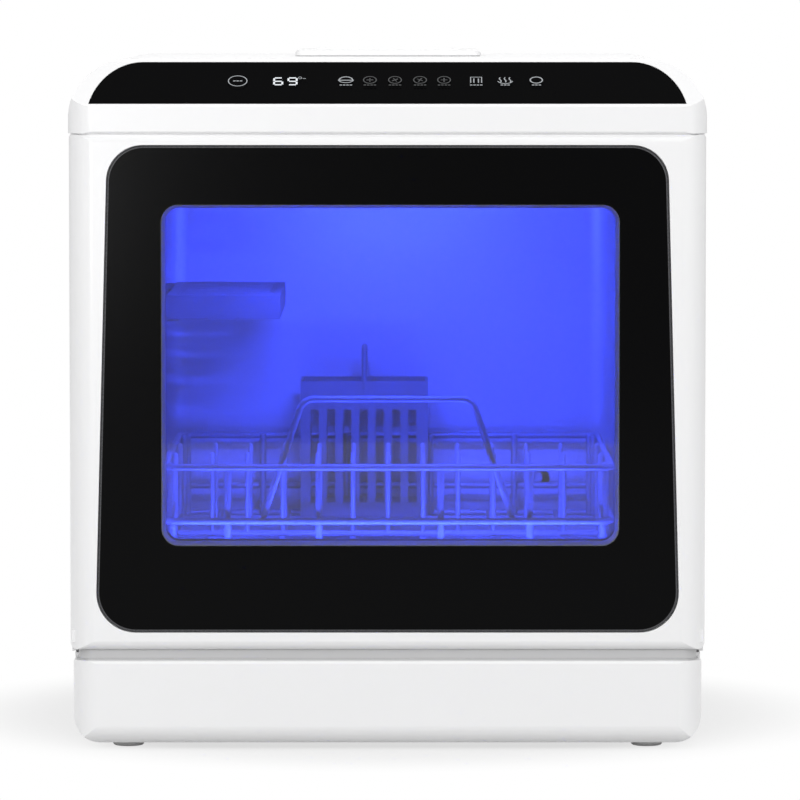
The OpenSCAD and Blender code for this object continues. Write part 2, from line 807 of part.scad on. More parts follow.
module window_bezel() {
    color([0.7, 0.72, 0.8]) place() front_extrude(glass_t + 1, glass_t + 9) difference() {
        window_outline(0);
        window_outline(-bezel_w);
    }
}

module inner_glass() {
    color([0.75, 0.85, 0.9]) place() front_extrude(sleeve_end + 0.2, door_d - 0.2)
        window_outline(sleeve_wall);
}

module door_liner() {
    low = pivot_z - 3;
    high = door_top - 6.5;
    color(steel) place() difference() {
        union() {
            front_extrude(liner_y, liner_y + liner_t)
                rounded_box_outline(-liner_half, low, liner_half, high, 12);
            front_extrude(sleeve_end + 0.2, liner_y + eps) difference() {
                window_outline(sleeve_wall + 6);
                window_outline(sleeve_wall + 0.4);
            }
        }
        front_extrude(liner_y - eps, liner_y + liner_t + eps) window_outline(-2);
        front_extrude(liner_y - eps, liner_y + liner_t + eps)
            rounded_box_outline(cup_x0, pivot_z + 12, cup_x1, cup_top, 6);
    }
}

module detergent_cup() {
    x0 = cup_x0 + fit;
    x1 = cup_x1 - fit;
    z0 = pivot_z + 12 + fit;
    z1 = cup_top - fit;
    color(white) place() difference() {
        front_extrude(door_d - 20, liner_y + liner_t - 0.2) rounded_box_outline(x0, z0, x1, z1, 5.7);
        front_extrude(door_d - 18, liner_y + liner_t + eps)
            rounded_box_outline(x0 + 2, z0 + 2, x1 - 2, z1 - 2, 3.7);
    }
}

module door_striker() {
    color(steel) place() difference() {
        union() {
            block(-8, door_d - 7.5, striker_z, 8, lock_y - 14, striker_z + 2);
            block(-8, front_wall + 0.1, striker_z - 6, 8, front_wall + 2, striker_z + 2);
            block(-8, front_wall + 1, striker_z, 8, door_d - 7, striker_z + 2);
        }
        block(-5, lock_y - 25, striker_z - eps, 5, lock_y - 17, striker_z + 4);
    }
}

// ---- Hinges and lock ----

module hinge_brackets() {
    x0 = hinge_x - hinge_t / 2;
    leg = pivot_y + 17;
    color(steel) place() both_sides() difference() {
        union() {
            side_extrude(x0, x0 + hinge_t) {
                translate([pivot_y, pivot_z]) circle(r = 6);
                block2(pivot_y, pivot_z - 6, front_d + 4, pivot_z + 6);
                block2(leg, bracket_low + 0.1, front_d + 4, pivot_z + 6);
            }
            block(x0 - 14, leg, bracket_low + 0.1, x0 + hinge_t, leg + 26, bracket_low + 2.1);
        }
        bar_x(hinge_pin_r, x0 - eps, x0 + hinge_t + eps, pivot_y, pivot_z);
        bar_z(2, 0, bracket_low + 5, x0 - 7, leg + 18);
    }
}

module hinge_pins() {
    color(steel) place() both_sides() bar_x(hinge_pin_r, hinge_x - 7.5, hinge_x + 8.5, pivot_y, pivot_z);
}

module latch_housing() {
    y0 = latch_y + 0.1;
    y1 = lock_y + 12;
    base = tub_top + tub_wall + 0.1;
    color([0.2, 0.2, 0.22]) place() difference() {
        block(-16, y0, base, 16, y1, lock_z + 6);
        block(-10, y0 - eps, striker_z - 2, 10, y1 - 3, lock_z + 2.5);
        block(-10, y0 - eps, striker_z - 2, 10, lock_y - 8, lock_z + 8);
        bar_x(2, -17, 17, lock_y, lock_z - 1.5);
    }
}

module latch_hook() {
    color(steel) place() {
        bar_x(2 - run, -16, 16, lock_y, lock_z - 1.5);
        side_extrude(-4, 4) {
            translate([lock_y, lock_z - 1.5]) circle(r = 3.4);
            polygon([[lock_y, lock_z + 1.9], [lock_y, lock_z - 3.5], [lock_y - 19, lock_z - 1],
                [lock_y - 19, lock_z - 5.5], [lock_y - 22.5, lock_z - 5.5], [lock_y - 22.5, lock_z + 1.9]]);
        }
    }
}

// ---- Water circuit ----

module sump() {
    top = tub_floor - tub_wall - 0.1;
    color([0.25, 0.25, 0.27]) place() difference() {
        union() {
            bar_z(sump_r + 8, top - 2.5, top, sump_x, sump_y);
            bar_z(sump_r + 2.5, sump_low, top, sump_x, sump_y);
            bar_x(9, sump_x - sump_r - 12, sump_x - sump_r + 5, sump_y, pump_z + 12);
            bar_y(8, sump_y - sump_r - 14, sump_y - sump_r + 5, sump_x, sump_low + 10);
        }
        bar_z(sump_r, sump_low + 2.5, top + eps, sump_x, sump_y);
        bar_x(7, sump_x - sump_r - 13, sump_x - sump_r + 6, sump_y, pump_z + 12);
        bar_y(6, sump_y - sump_r - 15, sump_y - sump_r + 6, sump_x, sump_low + 10);
        for (s = [-1, 1]) bar_z(2.55, sump_low - eps, sump_low + 4,
            sump_x + s * heater_r * sin(heater_gap), sump_y + heater_r * cos(heater_gap));
    }
}

module sump_filter() {
    low = sump_low + 2.6;
    color([0.35, 0.36, 0.38]) place() difference() {
        union() {
            bar_z(filter_r, low, tub_floor - 1, sump_x, sump_y);
            bar_z(sump_r - 0.5, tub_floor - 2, tub_floor + 0.5, sump_x, sump_y);
            block(sump_x - 3, sump_y - 20, tub_floor - 20, sump_x + 3, sump_y + 20, tub_floor + 2);
        }
        difference() {
            bar_z(filter_r - 2, low + 2, tub_floor + 5, sump_x, sump_y);
            block(sump_x - 3, sump_y - 30, tub_floor - 14, sump_x + 3, sump_y + 30, tub_floor + 2);
        }
        for (a = [0 : 30 : 150]) translate([sump_x, sump_y, 0]) rotate([0, 0, a])
            block(-filter_r - 2, -4, low + 8, filter_r + 2, 4, tub_floor - 16);
    }
}

module sump_heater() {
    ring_z = sump_low + 9;
    color(steel) place() {
        translate([sump_x, sump_y, ring_z]) rotate([0, 0, 90 + heater_gap])
            rotate_extrude(angle = 360 - 2 * heater_gap) translate([heater_r, 0]) circle(r = 2.4);
        for (s = [-1, 1]) bar_z(2.5, sump_low - 12, ring_z + 2.6,
            sump_x + s * heater_r * sin(heater_gap), sump_y + heater_r * cos(heater_gap));
    }
}

module wash_pump() {
    z = pump_z;
    color([0.16, 0.16, 0.18]) place() difference() {
        union() {
            bar_x(pump_r, -pump_half, pump_half, pump_y, z);
            bar_x(27, -pump_half - 70, -pump_half, pump_y, z);
            bar_x(6.9, pump_half - eps, sump_x - sump_r - 3, pump_y, z + 12);
            bar_y(5.9, pump_y - pump_r - 8, pump_y, 0, z);
            bar_y(5.9, pump_y, pump_y + pump_r + 8, 0, z);
            block(-pump_half, pump_y - 20, floor_top, pump_half, pump_y + 20, z - 20);
            block(-pump_half - 60, pump_y - 14, floor_top, -pump_half - 50, pump_y + 14, z - 20);
        }
        bar_x(pump_r - 3, 3 - pump_half, pump_half - 3, pump_y, z);
        bar_x(4.9, pump_half - 4, sump_x - sump_r, pump_y, z + 12);
        bar_y(4, pump_y - pump_r - 9, pump_y, 0, z);
        bar_y(4, pump_y, pump_y + pump_r + 9, 0, z);
        bar_x(3.06, -pump_half - 20, -pump_half + 4, pump_y, z);
    }
}

// A bladed wheel on a short shaft, along X.
module wheel(r, hub, width, blades, t) {
    rotate([0, 90, 0]) {
        cylinder(r = r, h = 1.6);
        cylinder(r = hub, h = width);
        for (i = [0 : blades - 1]) rotate([0, 0, i * 360 / blades])
            translate([hub - 1, -t / 2, 0]) cube([r - hub - 1, t, width]);
    }
}

module wash_impeller() {
    color([0.75, 0.75, 0.78]) place() translate([2 - pump_half + 4, pump_y, pump_z]) {
        wheel(24, 7, 14, 6, 2);
        rotate([0, -90, 0]) cylinder(r = 3, h = 18);
    }
}

module feed_pipe() {
    y0 = pump_y - pump_r - 3;
    points = [[0, y0, pump_z], [0, centre_y, pump_z], [0, centre_y, tub_floor - 33]];
    bore = [[0, y0 + 1, pump_z], [0, centre_y, pump_z], [0, centre_y, tub_floor - 30]];
    color([0.2, 0.2, 0.22]) place() difference() {
        wire(points, 9, hose_r);
        wire(bore, 9, hose_r - hose_wall);
    }
}

module riser_hose() {
    y0 = pump_y + pump_r + 3;
    points = [[0, y0, pump_z], [0, riser_y, pump_z], [0, riser_y, riser_z], [0, centre_y, riser_z],
        [0, centre_y, tub_top + tub_wall + 2.6]];
    bore = [[0, y0 - 1, pump_z], [0, riser_y, pump_z], [0, riser_y, riser_z], [0, centre_y, riser_z],
        [0, centre_y, riser_z - 12]];
    color([0.3, 0.3, 0.32]) place() difference() {
        wire(points, 9, hose_r);
        wire(bore, 9, hose_r - hose_wall);
    }
}

module lower_arm_post() {
    color([0.3, 0.3, 0.32]) place() difference() {
        union() {
            bar_z(post_r, tub_floor - 32.7, tub_floor + 20, 0, centre_y);
            bar_z(post_r + 6, tub_floor + 0.1, tub_floor + 2, 0, centre_y);
            bar_z(post_r + 4, tub_floor + 18.3, tub_floor + 21, 0, centre_y);
        }
        bar_z(post_r - 3, tub_floor - 40, tub_floor + 14, 0, centre_y);
        for (a = [0, 90]) translate([0, centre_y, 0]) rotate([0, 0, a])
            block(-post_r - 2, -3, tub_floor + 7, post_r + 2, 3, tub_floor + 12);
    }
}

// A two-armed spray arm, z from its lower face.
module spray_arm(reach, hub_h) {
    difference() {
        union() {
            cylinder(r = post_r + 7, h = hub_h);
            translate([0, 0, 3]) linear_extrude(8) {
                polygon([[-15, 0], [0, -15], [reach - 9, -9], [reach - 9, 9], [0, 15]]);
                polygon([[15, 0], [0, 15], [9 - reach, 9], [9 - reach, -9], [0, -15]]);
                for (s = [-1, 1]) translate([s * (reach - 9), 0]) circle(r = 9);
            }
        }
        translate([0, 0, -eps]) cylinder(r = post_r + run, h = hub_h + 2);
        translate([0, 0, 5]) linear_extrude(4) {
            square([reach * 2 - 30, 12], center = true);
        }
        for (s = [-1, 1], d = [34, 58, 82, 106]) if (d < reach - 10)
            translate([s * d, s * 3, 8]) cylinder(r = 1.4, h = 8);
    }
}

module lower_spray_arm() {
    color([0.78, 0.8, 0.82]) place() translate([0, centre_y, tub_floor + 3]) rotate([0, 0, 28])
        spray_arm(arm_reach, 15);
}

module upper_arm_post() {
    color([0.3, 0.3, 0.32]) place() difference() {
        union() {
            bar_z(post_r, tub_top - 20, tub_top + tub_wall + 2.5, 0, centre_y);
            bar_z(post_r + 6, tub_top - 2, tub_top - 0.1, 0, centre_y);
            bar_z(post_r + 4, tub_top - 21, tub_top - 18.3, 0, centre_y);
        }
        bar_z(post_r - 3, tub_top - 14, tub_top + 10, 0, centre_y);
        for (a = [0, 90]) translate([0, centre_y, 0]) rotate([0, 0, a])
            block(-post_r - 2, -3, tub_top - 12, post_r + 2, 3, tub_top - 7);
    }
}

module upper_spray_arm() {
    color([0.78, 0.8, 0.82]) place() translate([0, centre_y, tub_top - 3]) rotate([180, 0, 64])
        spray_arm(upper_reach, 15);
}

module drain_pump() {
    y1 = sump_y - sump_r - 16;
    z = sump_low + 10;
    color([0.2, 0.2, 0.22]) place() difference() {
        union() {
            bar_y(22, y1 - 26, y1, sump_x, drain_z);
            bar_y(18, y1 - 76, y1 - 26, sump_x, drain_z);
            bar_y(5.9, y1 - eps, y1 + 8, sump_x, z);
            bar_x(5.9, sump_x + 15, sump_x + 32, y1 - 13, drain_z);
            block(sump_x - 12, y1 - 26, floor_top, sump_x + 12, y1, drain_z - 16);
        }
        bar_y(19.5, y1 - 23, y1 - 2.5, sump_x, drain_z);
        bar_y(4, y1 - 4, y1 + 9, sump_x, z);
        bar_x(4, sump_x + 14, sump_x + 33, y1 - 13, drain_z);
        bar_y(2.06, y1 - 40, y1 - 20, sump_x, drain_z);
    }
}

module drain_impeller() {
    y1 = sump_y - sump_r - 16;
    color([0.75, 0.75, 0.78]) place() translate([sump_x, y1 - 20, drain_z]) rotate([0, 0, 90]) {
        wheel(14, 5, 12, 4, 2);
        rotate([0, -90, 0]) cylinder(r = 2, h = 16);
    }
}

module drain_hose() {
    y1 = sump_y - sump_r - 29;
    points = [[sump_x + 24, y1, drain_z], [outlet_x, y1, drain_z], [outlet_x, back_in - 6, drain_z]];
    bore = [[sump_x + 23, y1, drain_z], [outlet_x, y1, drain_z], [outlet_x, total_d + eps, drain_z]];
    color([0.35, 0.35, 0.37]) place() difference() {
        union() {
            wire(points, 20, hose_r);
            bar_y(drain_r - 0.6, back_in - 10, total_d - eps, outlet_x, drain_z);
            bar_y(drain_r, body_d + fit, total_d, outlet_x, drain_z);
            bar_y(drain_r + 3, back_in - 12, back_in - 0.1, outlet_x, drain_z);
        }
        wire(bore, 20, hose_r - hose_wall);
    }
}

module inlet_valve() {
    color([0.92, 0.92, 0.9]) place() difference() {
        union() {
            bar_y(inlet_r - 0.6, back_in - 30, total_d - eps, valve_x, valve_z);
            bar_y(inlet_r, body_d + fit, total_d, valve_x, valve_z);
            block(valve_x - 18, back_in - 30, valve_z - 18, valve_x + 18, back_in - 0.1, valve_z + 18);
            block(valve_x - 10, back_in - 26, floor_top, valve_x + 10, back_in - 6, valve_z - 10);
            bar_z(11, valve_z + 17, valve_z + 38, valve_x - 4, back_in - 17);
        }
        bar_y(inlet_r - 3, total_d - 18, total_d + eps, valve_x, valve_z);
        bar_y(3, back_in - 20, total_d - 10, valve_x, valve_z);
    }
}

module inlet_hose() {
    x = valve_x;
    y = tub_back + 11.5;
    points = [[x - 4, y + 4, valve_z + 38.1], [x - 4, y + 4, 150], [x - 4, tub_back + tub_wall + 0.1, 150]];
    color([0.75, 0.75, 0.75]) place() wire(points, 7, 5);
}

module cord_gland() {
    color([0.15, 0.15, 0.16]) place() difference() {
        union() {
            bar_y(7.9, back_in - 6, body_d + 5, gland_x, gland_z);
            bar_y(11, body_d + 0.05, body_d + 5, gland_x, gland_z);
            bar_y(11, back_in - 6, back_in - 0.1, gland_x, gland_z);
        }
        bar_y(cord_r, back_in - 8, body_d + 8, gland_x, gland_z);
    }
}

// ---- Air, electronics, leak guard ----

module drying_fan() {
    color([0.18, 0.18, 0.2]) place() difference() {
        union() {
            bar_x(fan_r, fan_x0, fan_x1, fan_y, fan_z);
            bar_x(12, tub_half + tub_wall + 0.1, fan_x0 + eps, fan_y - 22, fan_z);
        }
        bar_x(fan_r - 2, fan_x0 + 2, fan_x1 - 2, fan_y, fan_z);
        bar_x(9.5, tub_half, fan_x0 + 3, fan_y - 22, fan_z);
        bar_x(16, fan_x1 - 3, fan_x1 + eps, fan_y, fan_z);
        bar_x(2 + run, fan_x0 - eps, fan_x0 + 3, fan_y, fan_z);
    }
}

module fan_impeller() {
    color([0.3, 0.3, 0.32]) place() translate([fan_x0 + 5, fan_y, fan_z]) {
        wheel(30, 9, 20, 12, 1.2);
        rotate([0, -90, 0]) cylinder(r = 2, h = 5);
    }
}

module main_board() {
    x0 = tub_half + tub_wall + 0.1;
    color([0.1, 0.35, 0.2]) place() {
        block(x0 + 6, 90, 130, x0 + 7.6, 270, 290);
        for (y = [96, 264], z = [136, 284]) bar_x(3, x0, x0 + 6, y, z);
        for (i = [0 : 3]) block(x0 + 7.6, 110 + i * 36, 150, x0 + 22, 130 + i * 36, 176);
        for (i = [0 : 2]) bar_x(9, x0 + 7.6, x0 + 28, 120 + i * 50, 220);
        block(x0 + 7.6, 110, 250, x0 + 20, 250, 270);
    }
}

module leak_float() {
    color([0.9, 0.75, 0.2]) place() difference() {
        bar_z(float_r, floor_top + fit, floor_top + 18, float_x, float_y);
        bar_z(3 + run, floor_top, floor_top + 20, float_x, float_y);
    }
}

// ---- Inside the chamber ----

// The basket is welded from mats of wire: four sides, four corners, the floor and two combs of plate
// tines. The mats meet end to end.
module dish_basket() {
    half = basket_half;
    y0 = basket_front;
    y1 = basket_end;
    in = basket_bend + butt;
    step = (y1 - y0) / 7;
    post = wire_r * 1.7;
    color(steel) place() {
        // front and back, with their uprights behind or before the long wires
        for (z = hoop_zs) {
            bar_x(wire_r, in - half, half - in, y0, z);
            bar_x(wire_r, in - half, half - in, y1, z);
        }
        for (x = [-107, -46, 35.5, 95]) bar_z(wire_r, grid_z, basket_rim, x, y0 + post);
        for (x = [-90, -30, 30, 90]) bar_z(wire_r, grid_z, basket_rim, x, y1 - post);
        // sides
        both_sides() {
            for (z = hoop_zs) bar_y(wire_r, y0 + in, y1 - in, half, z);
            for (y = [y0 + 20, y0 + 110, y0 + 200, y1 - 20])
                bar_z(wire_r, grid_z, basket_rim, half - post, y);
        }
        // corners
        for (c = [[half, y1, 0], [-half, y1, 90], [-half, y0, 180], [half, y0, 270]])
            translate([c[0], c[1], 0]) rotate([0, 0, c[2]]) translate([-basket_bend, -basket_bend, 0])
                basket_corner(post);
        // floor
        for (x = [-120, -72, -24, 24, 72, 120]) bar_y(wire_r, y0 + wire_r + butt, y1 - wire_r - butt,
            x, grid_z);
        for (i = [1, 3, 5, 6]) bar_x(1.8, -half + wire_r + butt, half - wire_r - butt, y0 + i * step,
            grid_z - 0.4);
        // combs on top of the floor wires
        for (i = [2, 4]) {
            bar_x(1.8, -half + 6, half - 6, y0 + i * step, comb_z);
            for (k = [-5 : 5]) bar_z(1.6, comb_z, basket_rim + 4, k * tine_step, y0 + i * step);
        }
    }
}

module basket_corner(post) {
    r = basket_bend;
    for (z = hoop_zs) translate([0, 0, z]) rotate_extrude(angle = 90) translate([r, 0])
        circle(r = wire_r);
    bar_z(wire_r, grid_z, basket_rim, (r - post) * cos(45), (r - post) * sin(45));
}

module basket_handle() {
    y = basket_front + 2 * wire_r + fit;
    color(steel) place()
        wire([[-handle_foot, y, mid_z - 2], [-handle_half, y, handle_top], [handle_half, y, handle_top],
            [handle_foot, y, mid_z - 2]], 10, wire_r);
}

module cutlery_basket() {
    x0 = -62;
    x1 = 28;
    y1 = basket_end - 14;
    y0 = y1 - 56;
    z0 = grid_z + wire_r + fit;
    z1 = z0 + 96;
    color([0.8, 0.82, 0.85]) place() {
        difference() {
            block(x0, y0, z0, x1, y1, z1);
            for (i = [0 : 1]) block(x0 + 2 + i * 44, y0 + 2, z0 + 2, x0 + 44 + i * 44, y1 - 2, z1 + eps);
            for (i = [0 : 6]) block(x0 + 7 + i * 11.5, y0 - eps, z0 + 10, x0 + 13 + i * 11.5, y1 + eps,
                z0 + 76);
            for (i = [0 : 3]) block(x0 - eps, y0 + 8 + i * 11, z0 + 10, x1 + eps, y0 + 14 + i * 11,
                z0 + 76);
        }
        wire([[x0 + 45, y0 + 1.5, z1 - 6], [x0 + 45, y0 + 1.5, z1 + 22], [x0 + 45, y1 - 1.5, z1 + 22],
            [x0 + 45, y1 - 1.5, z1 - 6]], 8, 1.9);
    }
}

module cup_shelf() {
    x0 = shelf_pin_x + 7;
    x1 = shelf_pin_x + shelf_reach;
    y0 = shelf_front;
    y1 = shelf_front + shelf_d;
    color([0.6, 0.65, 0.75]) place() difference() {
        union() {
            block(x0, y0, shelf_z0, x1, y1, shelf_z1);
            for (y = [y0, y1 - 16]) {
                block(shelf_pin_x, y, shelf_pin_z - 5, x0 + eps, y + 16, shelf_pin_z + 5);
                bar_y(5, y, y + 16, shelf_pin_x, shelf_pin_z);
            }
        }
        block(x0 + 3, y0 + 3, shelf_z0 - eps, x1 - 3, y1 - 3, shelf_z1 - 4);
        for (i = [0 : 7]) block(x0 + 8, y0 + 15 + i * 23, shelf_z1 - 5, x1 - 8, y0 + 27 + i * 23,
            shelf_z1 + eps);
        bar_y(2 + run, y0 - eps, y1 + eps, shelf_pin_x, shelf_pin_z);
    }
}

module shelf_bracket() {
    y0 = shelf_front;
    y1 = shelf_front + shelf_d;
    wall_x = fit - tub_half;
    color(steel) place() {
        block(wall_x, y0 - 4, shelf_z0 - 12, wall_x + 2.5, y1 + 4, shelf_z0 + 2);
        block(wall_x, y0 + 50, shelf_z0 - 4, shelf_pin_x + 14, y1 - 50, shelf_z0 - fit);
        for (y = [y0 - 4, y1 + fit]) block(wall_x, y, shelf_z0 - 12, shelf_pin_x + 3, y + 3.7,
            shelf_pin_z + 4);
        bar_y(2, y0 - 4, y1 + 4, shelf_pin_x, shelf_pin_z);
    }
}

base_tray();
kick_panel();
left_side_panel();
right_side_panel();
top_cover();
front_fascia();
back_panel();
feet();
case_screws();
control_glass();
control_board();
display_module();
fill_lid();
lid_pin();
fill_funnel();
fill_strainer();
fill_hose();
water_tank();
tub();
tub_gasket();
basket_rails();
chamber_lamp();
door_frame();
outer_glass();
door_core();
window_bezel();
inner_glass();
door_liner();
detergent_cup();
door_striker();
hinge_brackets();
hinge_pins();
latch_housing();
latch_hook();
sump();
sump_filter();
sump_heater();
wash_pump();
wash_impeller();
feed_pipe();
riser_hose();
lower_arm_post();
lower_spray_arm();
upper_arm_post();
upper_spray_arm();
drain_pump();
drain_impeller();
drain_hose();
inlet_valve();
inlet_hose();
cord_gland();
drying_fan();
fan_impeller();
main_board();
leak_float();
dish_basket();
basket_handle();
cutlery_basket();
cup_shelf();
shelf_bracket();
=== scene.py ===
# %% [markdown]
# # A countertop dishwasher, from its parts
#
# The construction comes in as a frame: sixty nodes on fourteen bodies, each already in its place.
# This file dresses that frame. It gives every part a material, makes the glass, the wires, the
# lid, the spray arms, the seal, the feet and the signs on the control panel as surfaces of their
# own, and sets up the light and the camera.
#
# Lengths are in millimetres, with Y counted from the front face of the door. `build()` turns them
# into the frame's metres.

import math

import bpy
import numpy as np
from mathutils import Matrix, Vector


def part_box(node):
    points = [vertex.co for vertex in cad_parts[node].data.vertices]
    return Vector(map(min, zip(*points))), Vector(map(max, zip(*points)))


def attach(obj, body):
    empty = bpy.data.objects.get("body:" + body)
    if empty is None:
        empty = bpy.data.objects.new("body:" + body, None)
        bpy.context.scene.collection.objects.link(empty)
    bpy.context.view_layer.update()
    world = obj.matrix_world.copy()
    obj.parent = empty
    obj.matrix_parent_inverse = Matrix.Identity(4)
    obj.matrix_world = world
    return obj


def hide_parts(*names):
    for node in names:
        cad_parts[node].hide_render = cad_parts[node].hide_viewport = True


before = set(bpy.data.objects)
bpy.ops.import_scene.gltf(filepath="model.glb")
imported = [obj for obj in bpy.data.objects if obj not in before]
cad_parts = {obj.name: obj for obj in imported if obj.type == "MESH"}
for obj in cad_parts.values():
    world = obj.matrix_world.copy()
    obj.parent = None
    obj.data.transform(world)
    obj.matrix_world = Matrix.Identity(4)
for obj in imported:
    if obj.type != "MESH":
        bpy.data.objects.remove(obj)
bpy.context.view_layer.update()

# %% [markdown]
# ## Surfaces from arrays
#
# Each new piece is a grid of points P(u, v), made whole with numpy. A grid is closed round v, and
# its ends are left open, closed with a flat face, or drawn together to a point.

# %% Units, directions and turns
FRONT = -216.0  # the door's front face, on the frame's y axis
MM = 0.001  # a millimetre in the frame's metres
PER_METRE = 1000


def at(points):
    """Frame point = (x, y + FRONT, z) MM, for points in millimetres with y from the front face."""
    return (np.asarray(points, float) + [0.0, FRONT, 0.0]) * MM


def cad(node):
    """The low and high corners of a CAD node, in millimetres with y from the front face."""
    return [np.asarray(corner, float) * PER_METRE - [0.0, FRONT, 0.0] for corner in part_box(node)]


def unit(vectors):
    """Each row divided by its length."""
    return vectors / np.linalg.norm(vectors, axis=1)[:, None]


def directions(path, closed):
    """The way a path goes at each of its points: halfway between the ways in and out."""
    ahead = np.roll(path, -1, 0) - path
    behind = path - np.roll(path, 1, 0)
    if not closed:
        ahead[-1], behind[0] = behind[-1], ahead[0]
    return unit(unit(ahead) + unit(behind))


def full_turn(n):
    """n angles, evenly round a circle."""
    return np.linspace(0, 2 * math.pi, n, endpoint=False)


def quarter_turn(n):
    """n + 1 angles, from 0 to a right angle."""
    return np.linspace(0, math.pi / 2, n + 1)


# %% Grids and how they become meshes


def grid(P, round_u=False, ends="flat"):
    """The points of P(u, v), with a four-sided face between each two rows and two columns."""
    P = np.asarray(P, float)
    nu, nv = P.shape[:2]
    i = np.arange(nu if round_u else nu - 1)[:, None]
    j = np.arange(nv)[None, :]
    a, b = i * nv + j, i * nv + (j + 1) % nv
    c, d = (i + 1) % nu * nv + (j + 1) % nv, (i + 1) % nu * nv + j
    quads = np.stack([a, b, c, d], -1).reshape(-1, 4)
    if round_u:
        return outward(P.reshape(-1, 3), [quads])
    if ends == "flat":
        caps = [np.arange(nv)[None, ::-1], (nu - 1) * nv + np.arange(nv)[None, :]]
        return outward(P.reshape(-1, 3), [quads] + caps)
    verts = np.concatenate([P[:1, 0], P[1:-1].reshape(-1, 3), P[-1:, 0]])
    quads = quads.reshape(nu - 1, nv, 4) - nv + 1
    first = np.stack([np.zeros(nv, int), quads[0, :, 2], quads[0, :, 3]], -1)
    last = np.stack([quads[-1, :, 0], quads[-1, :, 1], np.full(nv, len(verts) - 1)], -1)
    return outward(verts, [quads[1:-1].reshape(-1, 4), first, last])


def outward(verts, faces):
    """Turns every face over if the volume, a sixth of the sum of a . (b x c) over the triangles,
    is negative."""
    volume = sum(
        np.einsum("ij,ij->i", verts[f[:, 0]], np.cross(verts[f[:, k]], verts[f[:, k + 1]])).sum()
        for f in faces
        for k in range(1, f.shape[1] - 1)
    )
    return verts, ([f[:, ::-1] for f in faces] if volume < 0 else faces)


def build(name, *parts, crease=35):
    """One mesh object from parts of vertices and faces, smooth where faces meet below the crease
    angle."""
    counts = np.cumsum([0] + [len(v) for v, _ in parts])
    faces = [f + n for (_, many), n in zip(parts, counts) for f in many if len(f)]
    corners = np.concatenate([f.ravel() for f in faces])
    sizes = np.concatenate([np.full(len(f), f.shape[1]) for f in faces])
    points = at(np.concatenate([v for v, _ in parts])).astype(np.float32)
    mesh = bpy.data.meshes.new(name)
    mesh.vertices.add(counts[-1])
    mesh.vertices.foreach_set("co", points.ravel())
    mesh.loops.add(len(corners))
    mesh.loops.foreach_set("vertex_index", corners.astype(np.int32))
    mesh.polygons.add(len(sizes))
    mesh.polygons.foreach_set("loop_start", (np.cumsum(sizes) - sizes).astype(np.int32))
    mesh.update(calc_edges=True)
    mesh.validate()
    mesh.shade_smooth()
    mesh.set_sharp_from_angle(angle=math.radians(crease))
    piece = bpy.data.objects.new(name, mesh)
    bpy.context.scene.collection.objects.link(piece)
    return piece


def place(piece, material, body, slot, *nodes):
    """Gives a finished piece its material and its body, and hides the CAD nodes that it stands
    for."""
    piece.data.materials.append(material)
    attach(piece, body)
    if nodes:
        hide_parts(*nodes)
    print(piece.name, "faces:", len(piece.data.polygons))


# %% [markdown]
# ## Outlines, sweeps, tubes and turned forms

# %% Paths with true arcs
LEAST_ARC = 1e-3
LEAST_CORNER = 0.3


def bend(points, radii, steps=8, closed=False):
    """A path through the points with a true arc at each corner. An arc point is
    c + r (e cos t + d sin t), where d is the way the path was going and e points from the arc's
    centre c to where the arc begins."""
    p = np.asarray(points, float)
    here = p if closed else p[1:-1]
    back = unit((np.roll(p, 1, 0) if closed else p[:-2]) - here)
    on = unit((np.roll(p, -1, 0) if closed else p[2:]) - here)
    half = np.arccos(np.clip((back * on).sum(1), -1, 1)) / 2
    r = np.maximum(np.broadcast_to(np.asarray(radii, float), half.shape), LEAST_ARC)
    centre = here + unit(back + on) * (r / np.sin(half))[:, None]
    e = (here + back * (r / np.tan(half))[:, None] - centre) / r[:, None]
    t = np.linspace(0, 1, steps + 1)[None, :, None] * (math.pi - 2 * half)[:, None, None]
    turn = e[:, None] * np.cos(t) - back[:, None] * np.sin(t)
    arcs = (centre[:, None] + r[:, None, None] * turn).reshape(-1, p.shape[1])
    return arcs if closed else np.concatenate([p[:1], arcs, p[-1:]])


def rounded(x0, z0, x1, z1, r, steps=10):
    """The outline of a box with round corners, as a function of how far it is drawn in; r shrinks
    with it."""

    def outline(s):
        box = [(x0 + s, z0 + s), (x1 - s, z0 + s), (x1 - s, z1 - s), (x0 + s, z1 - s)]
        return bend(box, max(r - s, LEAST_CORNER), steps, closed=True)

    return outline


# %% Sweeps and turned forms


def upright(line, y):
    """A flat line stood up at a depth."""
    return np.stack([line[:, 0], np.full(len(line), y), line[:, 1]], -1)


def lying(line, z):
    """A flat line laid down at a height."""
    return np.column_stack([line, np.full(len(line), z)])


def sweep(outline, rows, plane="front", closed=False):
    """A flat outline swept through rows of (inset, level): each row is the outline drawn in by the
    inset, at that level across the plane. A closed sweep joins its last row to its first, which
    makes a ring."""
    P = np.stack([upright(outline(inset), level) for inset, level in rows])
    order = {"front": [0, 1, 2], "top": [0, 2, 1], "side": [1, 0, 2]}[plane]
    return grid(P[..., order], round_u=closed)


def round_edge(r, n):
    """Rows of (inset, depth) from a flat face to its side wall: (r - r sin q, r - r cos q)."""
    return [(r * (1 - math.sin(q)), r * (1 - math.cos(q))) for q in quarter_turn(n)]


def soft(low, high, r, n=4):
    """Rows of (inset, level) for a slab with round edges below and above."""
    edge = round_edge(r, n)
    return [(s, low + t) for s, t in edge] + [(s, high - t) for s, t in reversed(edge)]


